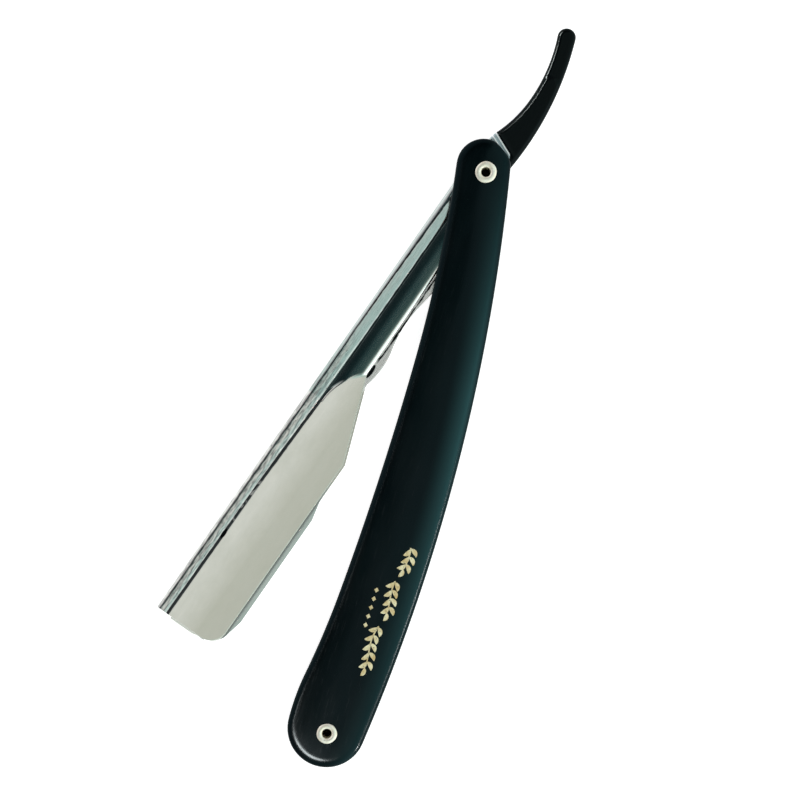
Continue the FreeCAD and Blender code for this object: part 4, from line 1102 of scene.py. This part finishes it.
def make_sleeve():
    """The moulded tail, swollen over the tongue in it, hollowed by the tongue and cut off at its mouth."""
    tongue = tongue_outline(-4.6)
    half = levels("tail_sleeve")[1]

    def face(places):
        depth = distance_to(tongue, places) * np.where(inside(tongue, places), 1, -1)
        mouth = (places - np.array(MOUTH_LOW)) @ np.array(MOUTH_NORMAL)
        lip = 0.08 * np.exp(-((mouth + 0.35) / 0.3) ** 2)
        swell = SLEEVE_SWELL * smooth(-SWELL_WIDTH, SWELL_WIDTH, depth + 0.1)
        return half - SLEEVE_SWELL - 0.08 + swell + lip

    rim = quarter_round(SLEEVE_ROUND, 9, (1.05, 1.25))
    sleeve = plate(sleeve_outline(), rim, face, 0.19).make("moulded_tail_sleeve", IN_HOLDER)
    core = plate(tongue_outline(-2.0), [(0.0, 0.1), (0.1, 0.0)], level_face(TONGUE_HALF + 0.02), 1.0)
    waste = Shell().prism([toward(MOUTH_LOW, MOUTH_BEND, -6.0), (6, -12), (6, 12),
                           toward(MOUTH_TOP, MOUTH_BEND, -6.0), MOUTH_BEND], -4, 4)
    carve(sleeve, core.make("core", IN_HOLDER), waste.make("waste", IN_HOLDER))
    dress(sleeve, "holder", sleeve_vinyl(), "sleeve", "tail_sleeve", crease=60)


# ---- carrier and blade ----

SHEET_SPACING = 0.5
CARRIER_EDGE_V, CARRIER_SPINE_V = 11.65, -0.75
CARRIER_HEEL_U, CARRIER_TOE_U = 21.5, 119.9
CARRIER_ROUND = 0.14
BLADE_CENTRE_U = 98.1
BLADE_EDGE_V = 12.45
BLADE_WIDTH = 11.0
BLADE_BACK_V = BLADE_EDGE_V - BLADE_WIDTH
BLADE_EDGE_HALF = 18.7
BLADE_TAB_HALF = 21.5
BLADE_TAB_WIDTH = 6.5
BLADE_SLOT_HALF = 0.1
EASE_U, EASE_V = 5.0, 1.1
PIN_OFFSET, PIN_SEAT_RADIUS, NOTCH_RADIUS = 10.5, 1.3, 1.5


def make_carrier():
    """A folded strip with a straight spine, a humped edge, a blade slot and two seats for the pins."""
    toe_top, lip_end = Vector((119.3, 7.6)), Vector((114.5, CARRIER_EDGE_V))
    hump_end, hump, waist = Vector((53.0, 5.35)), Vector((44.0, 5.55)), Vector((33.0, 4.85))
    outline = trace((CARRIER_HEEL_U, CARRIER_SPINE_V), [
        (CARRIER_TOE_U, CARRIER_SPINE_V), (CARRIER_TOE_U, 5.0), toe_top,
        (lip_end, bow(toe_top, lip_end, -1.35), 1),
        (82.0, CARRIER_EDGE_V), (78.0, 11.4), (71.6, 11.05), (56.5, 5.6), hump_end,
        (hump, bow(hump_end, hump, -0.55), 1),
        (waist, bow(hump, waist, 0.55), -1),
        (CARRIER_HEEL_U, 6.6), (CARRIER_HEEL_U, CARRIER_SPINE_V),
    ], SHEET_SPACING)
    half = levels("blade_carrier")[1]

    def face(places):
        ripple = np.array([noise.noise(Vector((u * 0.5, v * 0.9, 2.0))) for u, v in places])
        return half - 0.02 + 0.006 * ripple

    carrier = plate(outline, quarter_round(CARRIER_ROUND, 4, (0.3,)), face, 0.8)
    carrier = carrier.make("folded_blade_carrier", IN_HOLDER)
    left, right = BLADE_CENTRE_U - BLADE_TAB_HALF - 0.1, BLADE_CENTRE_U + BLADE_TAB_HALF + 0.1
    low, high = BLADE_BACK_V - 0.05, 14.0
    slot = Shell().prism([(left, low), (right, low), (right, high), (left, high)],
                         -BLADE_SLOT_HALF, BLADE_SLOT_HALF)
    carve(carrier, slot.make("groove", IN_HOLDER))
    for sign in (-1, 1):
        u = BLADE_CENTRE_U + sign * PIN_OFFSET
        carve(carrier, drum("seat", u, BLADE_BACK_V, PIN_SEAT_RADIUS, -1, 1, place=IN_HOLDER))
    dress(carrier, "carrier", carrier_steel(), "carrier_steel", "blade_carrier", crease=35)


def make_blade():
    """Half of a double-edge blade: tabs, notches, eased corners and a ground and honed edge."""
    half = levels("half_blade")[1]
    step_v = BLADE_BACK_V + BLADE_TAB_WIDTH
    left, right = BLADE_CENTRE_U - BLADE_EDGE_HALF, BLADE_CENTRE_U + BLADE_EDGE_HALF
    tab_left, tab_right = BLADE_CENTRE_U - BLADE_TAB_HALF, BLADE_CENTRE_U + BLADE_TAB_HALF
    corner_v = BLADE_EDGE_V - EASE_V
    steps = []
    for middle in (BLADE_CENTRE_U - PIN_OFFSET, BLADE_CENTRE_U, BLADE_CENTRE_U + PIN_OFFSET):
        near, far = middle - NOTCH_RADIUS, middle + NOTCH_RADIUS
        steps += [(near, BLADE_BACK_V), ((far, BLADE_BACK_V), Vector((middle, BLADE_BACK_V)), -1)]
    outline = trace((tab_left, BLADE_BACK_V), steps + [
        (tab_right, BLADE_BACK_V), (tab_right, step_v), (right, step_v), (right, corner_v),
        (right - EASE_U, BLADE_EDGE_V), (left + EASE_U, BLADE_EDGE_V), (left, corner_v),
        (left, step_v), (tab_left, step_v), (tab_left, BLADE_BACK_V),
    ], SHEET_SPACING)

    def face(places):
        u, v = places[:, 0], places[:, 1]
        eased = EASE_V * np.clip(1 - np.minimum(u - left, right - u) / EASE_U, 0, 1)
        from_edge = np.where(v > step_v + 0.1, BLADE_EDGE_V - eased - v, 9.0)
        return half * np.interp(from_edge, (0.0, 0.25, 0.85), (0.08, 0.5, 1.0))

    blade = plate(outline, [(0.0, 0.0)], face, 0.42).make("ground_half_blade", IN_HOLDER)
    material = steel("blade_ground_steel", (0.42, 0.47, 0.45), (0.5, 0.54, 0.52), 0.22, 0.06)
    dress(blade, "carrier", material, "blade_steel", "half_blade", crease=25)


# ---- CAD nodes that stay ----

def paint_cad_nodes():
    """Materials for the inner pieces, whose CAD shape is already right."""
    washers = brass("washer_brass", (0.5, 0.38, 0.17), (0.72, 0.58, 0.3), 0.28)
    pins = steel("pin_steel", (0.4, 0.41, 0.4), (0.52, 0.53, 0.51), 0.25, 0.1)
    spacer = spacer_plastic()
    kept = {
        "pivot_clinch_washer": (washers, "washers"),
        "butt_clinch_washer": (washers, "washers"),
        "front_pivot_washer": (washers, "washers"),
        "rear_pivot_washer": (washers, "washers"),
        "tang_bush": (washers, "washers"),
        "carrier_locating_pins": (pins, "carrier_steel"),
        "butt_spacer": (spacer, "spacer"),
    }
    for node, (material, slot) in kept.items():
        piece = frame["nodes"][node]
        piece.data.materials.clear()
        piece.data.materials.append(material)


# ---- floor, light and camera ----

VIEW_CENTRE = Vector((0.0531, -0.0045, 0.0))
VIEW_RIGHT = Vector((-0.2726, 0.9621, 0.0))
VIEW_WIDTH = 0.1758
LENS, SENSOR = 180.0, 36.0


def make_floor():
    """A plain white table, lit evenly so that shadows on it stay faint, with painted shade under the eyelets'
    bores: dark discs there that do not glow.
    """
    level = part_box("rear_scale")[0].z
    mesh = bpy.data.meshes.new("floor")
    corners = [(x, y, level) for x, y in ((-6, -6), (6, -6), (6, 6), (-6, 6))]
    mesh.from_pydata(corners, [], [(0, 1, 2, 3)])
    floor = bpy.data.objects.new("floor", mesh)
    bpy.context.scene.collection.objects.link(floor)
    paint = Paint("floor_white")
    # painted shade: the floor dark and without glow under the eyelets' bores
    from_pivot, from_butt = (paint.ellipse((x, 0.0)).root() for x in (0.0, BUTT_X))
    lit = paint.math("MINIMUM", from_pivot, from_butt).span(1.7, 1.9)
    white = paint.mix(paint.noise(2.0, detail=2), (0.79, 0.79, 0.79), (0.81, 0.81, 0.81))
    paint.base(lit, (0.012, 0.012, 0.012), white)
    material = paint.finish(Roughness=0.9, Emission_Color=(1, 1, 1, 1), Emission_Strength=lit * 0.8)
    mesh.materials.append(material)


def make_world():
    """Soft white surroundings with one dark flag high on the spine's side, which draws the steel's form."""
    world = bpy.data.worlds.new("studio")
    bpy.context.scene.world = world
    sky = Nodes(world)
    towards = sky.node("TexCoord").outputs["Generated"]

    def along(axis):
        node = sky.node("VectorMath")
        node.operation = "DOT_PRODUCT"
        sky.plug(towards, node.inputs[0])
        sky.plug(axis, node.inputs[1])
        return Value(sky, node.outputs["Value"])

    def ramp(value, low, high, stops):
        """Colours by value: stops are (value, colour)."""
        node = sky.node("ValToRGB", Fac=value.span(low, high))
        elements = node.color_ramp.elements
        elements.remove(elements[-1])
        for index, (place, colour) in enumerate(stops):
            position = (place - low) / (high - low)
            element = elements.new(position) if index else elements[0]
            element.position, element.color = position, (*colour, 1)
        return node.outputs["Color"]

    black, white = (0, 0, 0), (1, 1, 1)
    spine_side = along(tuple(-V_AXIS))
    around = ramp(spine_side, -1.0, 1.0, [
        (-1.0, (1.5, 1.6, 1.55)), (-0.75, (1.45, 1.55, 1.5)), (-0.52, (0.8, 0.98, 0.94)),
        (-0.28, (0.66, 0.85, 0.81)), (-0.19, (0.7, 0.87, 0.83)), (-0.12, (1.0, 1.0, 0.95)),
        (0.02, (1.0, 1.0, 0.95)), (0.1, (0.5, 0.47, 0.48)), (0.6, (0.6, 0.56, 0.58)),
        (0.82, (0.95, 0.92, 0.93)), (1.0, (1.5, 1.5, 1.5)),
    ])
    flag = ramp(spine_side, -0.1, 0.7, [(0.012, black), (0.045, white), (0.4, white), (0.56, black)])
    high_up = ramp(along((0, 0, 1)), 0.5, 1.0, [(0.6, black), (0.8, white)])
    slate = ramp(spine_side, 0.0, 0.5, [
        (0.04, (0.1, 0.2, 0.2)), (0.14, (0.035, 0.09, 0.096)),
        (0.3, (0.012, 0.032, 0.04)), (0.5, (0.012, 0.02, 0.024)),
    ])
    shine = sky.node("Background", Color=sky.mix(Value(sky, flag) * high_up, around, slate))
    sky.node("OutputWorld", Surface=shine.outputs["Background"])


def make_lamps():
    """Small softboxes that only black plastic's gloss sees, for the bright lines on its rounded edges."""
    scales, sleeve = ("front_scale_shell", "rear_scale_shell"), ("moulded_tail_sleeve",)
    # azimuth, height, half widths along and up, radiance, and the pieces lit
    for index, (azimuth, lift, wide, tall, radiance, lit) in enumerate((
            (-15, 62, 12, 6, 150.0, scales), (-44, 60, 7, 4, 70.0, scales), (-70, 58, 6, 3, 30.0, scales),
            (81, 40, 4, 4, 60.0, scales), (64, 34, 3, 4, 200.0, scales), (-119, 44, 12, 3, 280.0, sleeve))):
        turn, rise = math.radians(azimuth), math.radians(lift)
        away = Vector((math.cos(rise) * math.cos(turn), math.cos(rise) * math.sin(turn), math.sin(rise)))
        name = "softbox_%d" % index
        data = bpy.data.lights.new(name, "AREA")
        data.shape = "ELLIPSE"
        data.color = (1.0, 0.82, 0.76) if lit is sleeve else (1.0, 0.58, 0.5)
        data.size, data.size_y = 2 * math.tan(math.radians(wide)), 2 * math.tan(math.radians(tall))
        data.energy = radiance * math.pi * math.pi * data.size * data.size_y / 4
        lamp = bpy.data.objects.new(name, data)
        lamp.location = VIEW_CENTRE + away
        lamp.rotation_euler = (-away).to_track_quat("-Z", "Y").to_euler()
        lamp.visible_diffuse = False
        lamp.light_linking.receiver_collection = bpy.data.collections.new(name)
        for piece in lit:
            lamp.light_linking.receiver_collection.objects.link(bpy.data.objects[piece])
        bpy.context.scene.collection.objects.link(lamp)


def make_camera():
    """Looks straight down, with the scales leaning as they are pictured."""
    up = Vector((0, 0, 1)).cross(VIEW_RIGHT)
    distance = VIEW_WIDTH * LENS / SENSOR
    data = bpy.data.cameras.new("camera")
    data.lens, data.sensor_width = LENS, SENSOR
    data.clip_start, data.clip_end = 0.01, 20.0
    camera = bpy.data.objects.new("camera", data)
    turn = Matrix((VIEW_RIGHT, up, (0, 0, 1))).transposed().to_4x4()
    camera.matrix_world = Matrix.Translation(VIEW_CENTRE + Vector((0, 0, distance))) @ turn
    bpy.context.scene.collection.objects.link(camera)
    bpy.context.scene.camera = camera


make_scales()
make_eyelets()
make_ornament()
make_holder()
make_sleeve()
make_carrier()
make_blade()
paint_cad_nodes()
make_floor()
make_world()
make_lamps()
make_camera()
bpy.context.scene.view_settings.view_transform = "Standard"
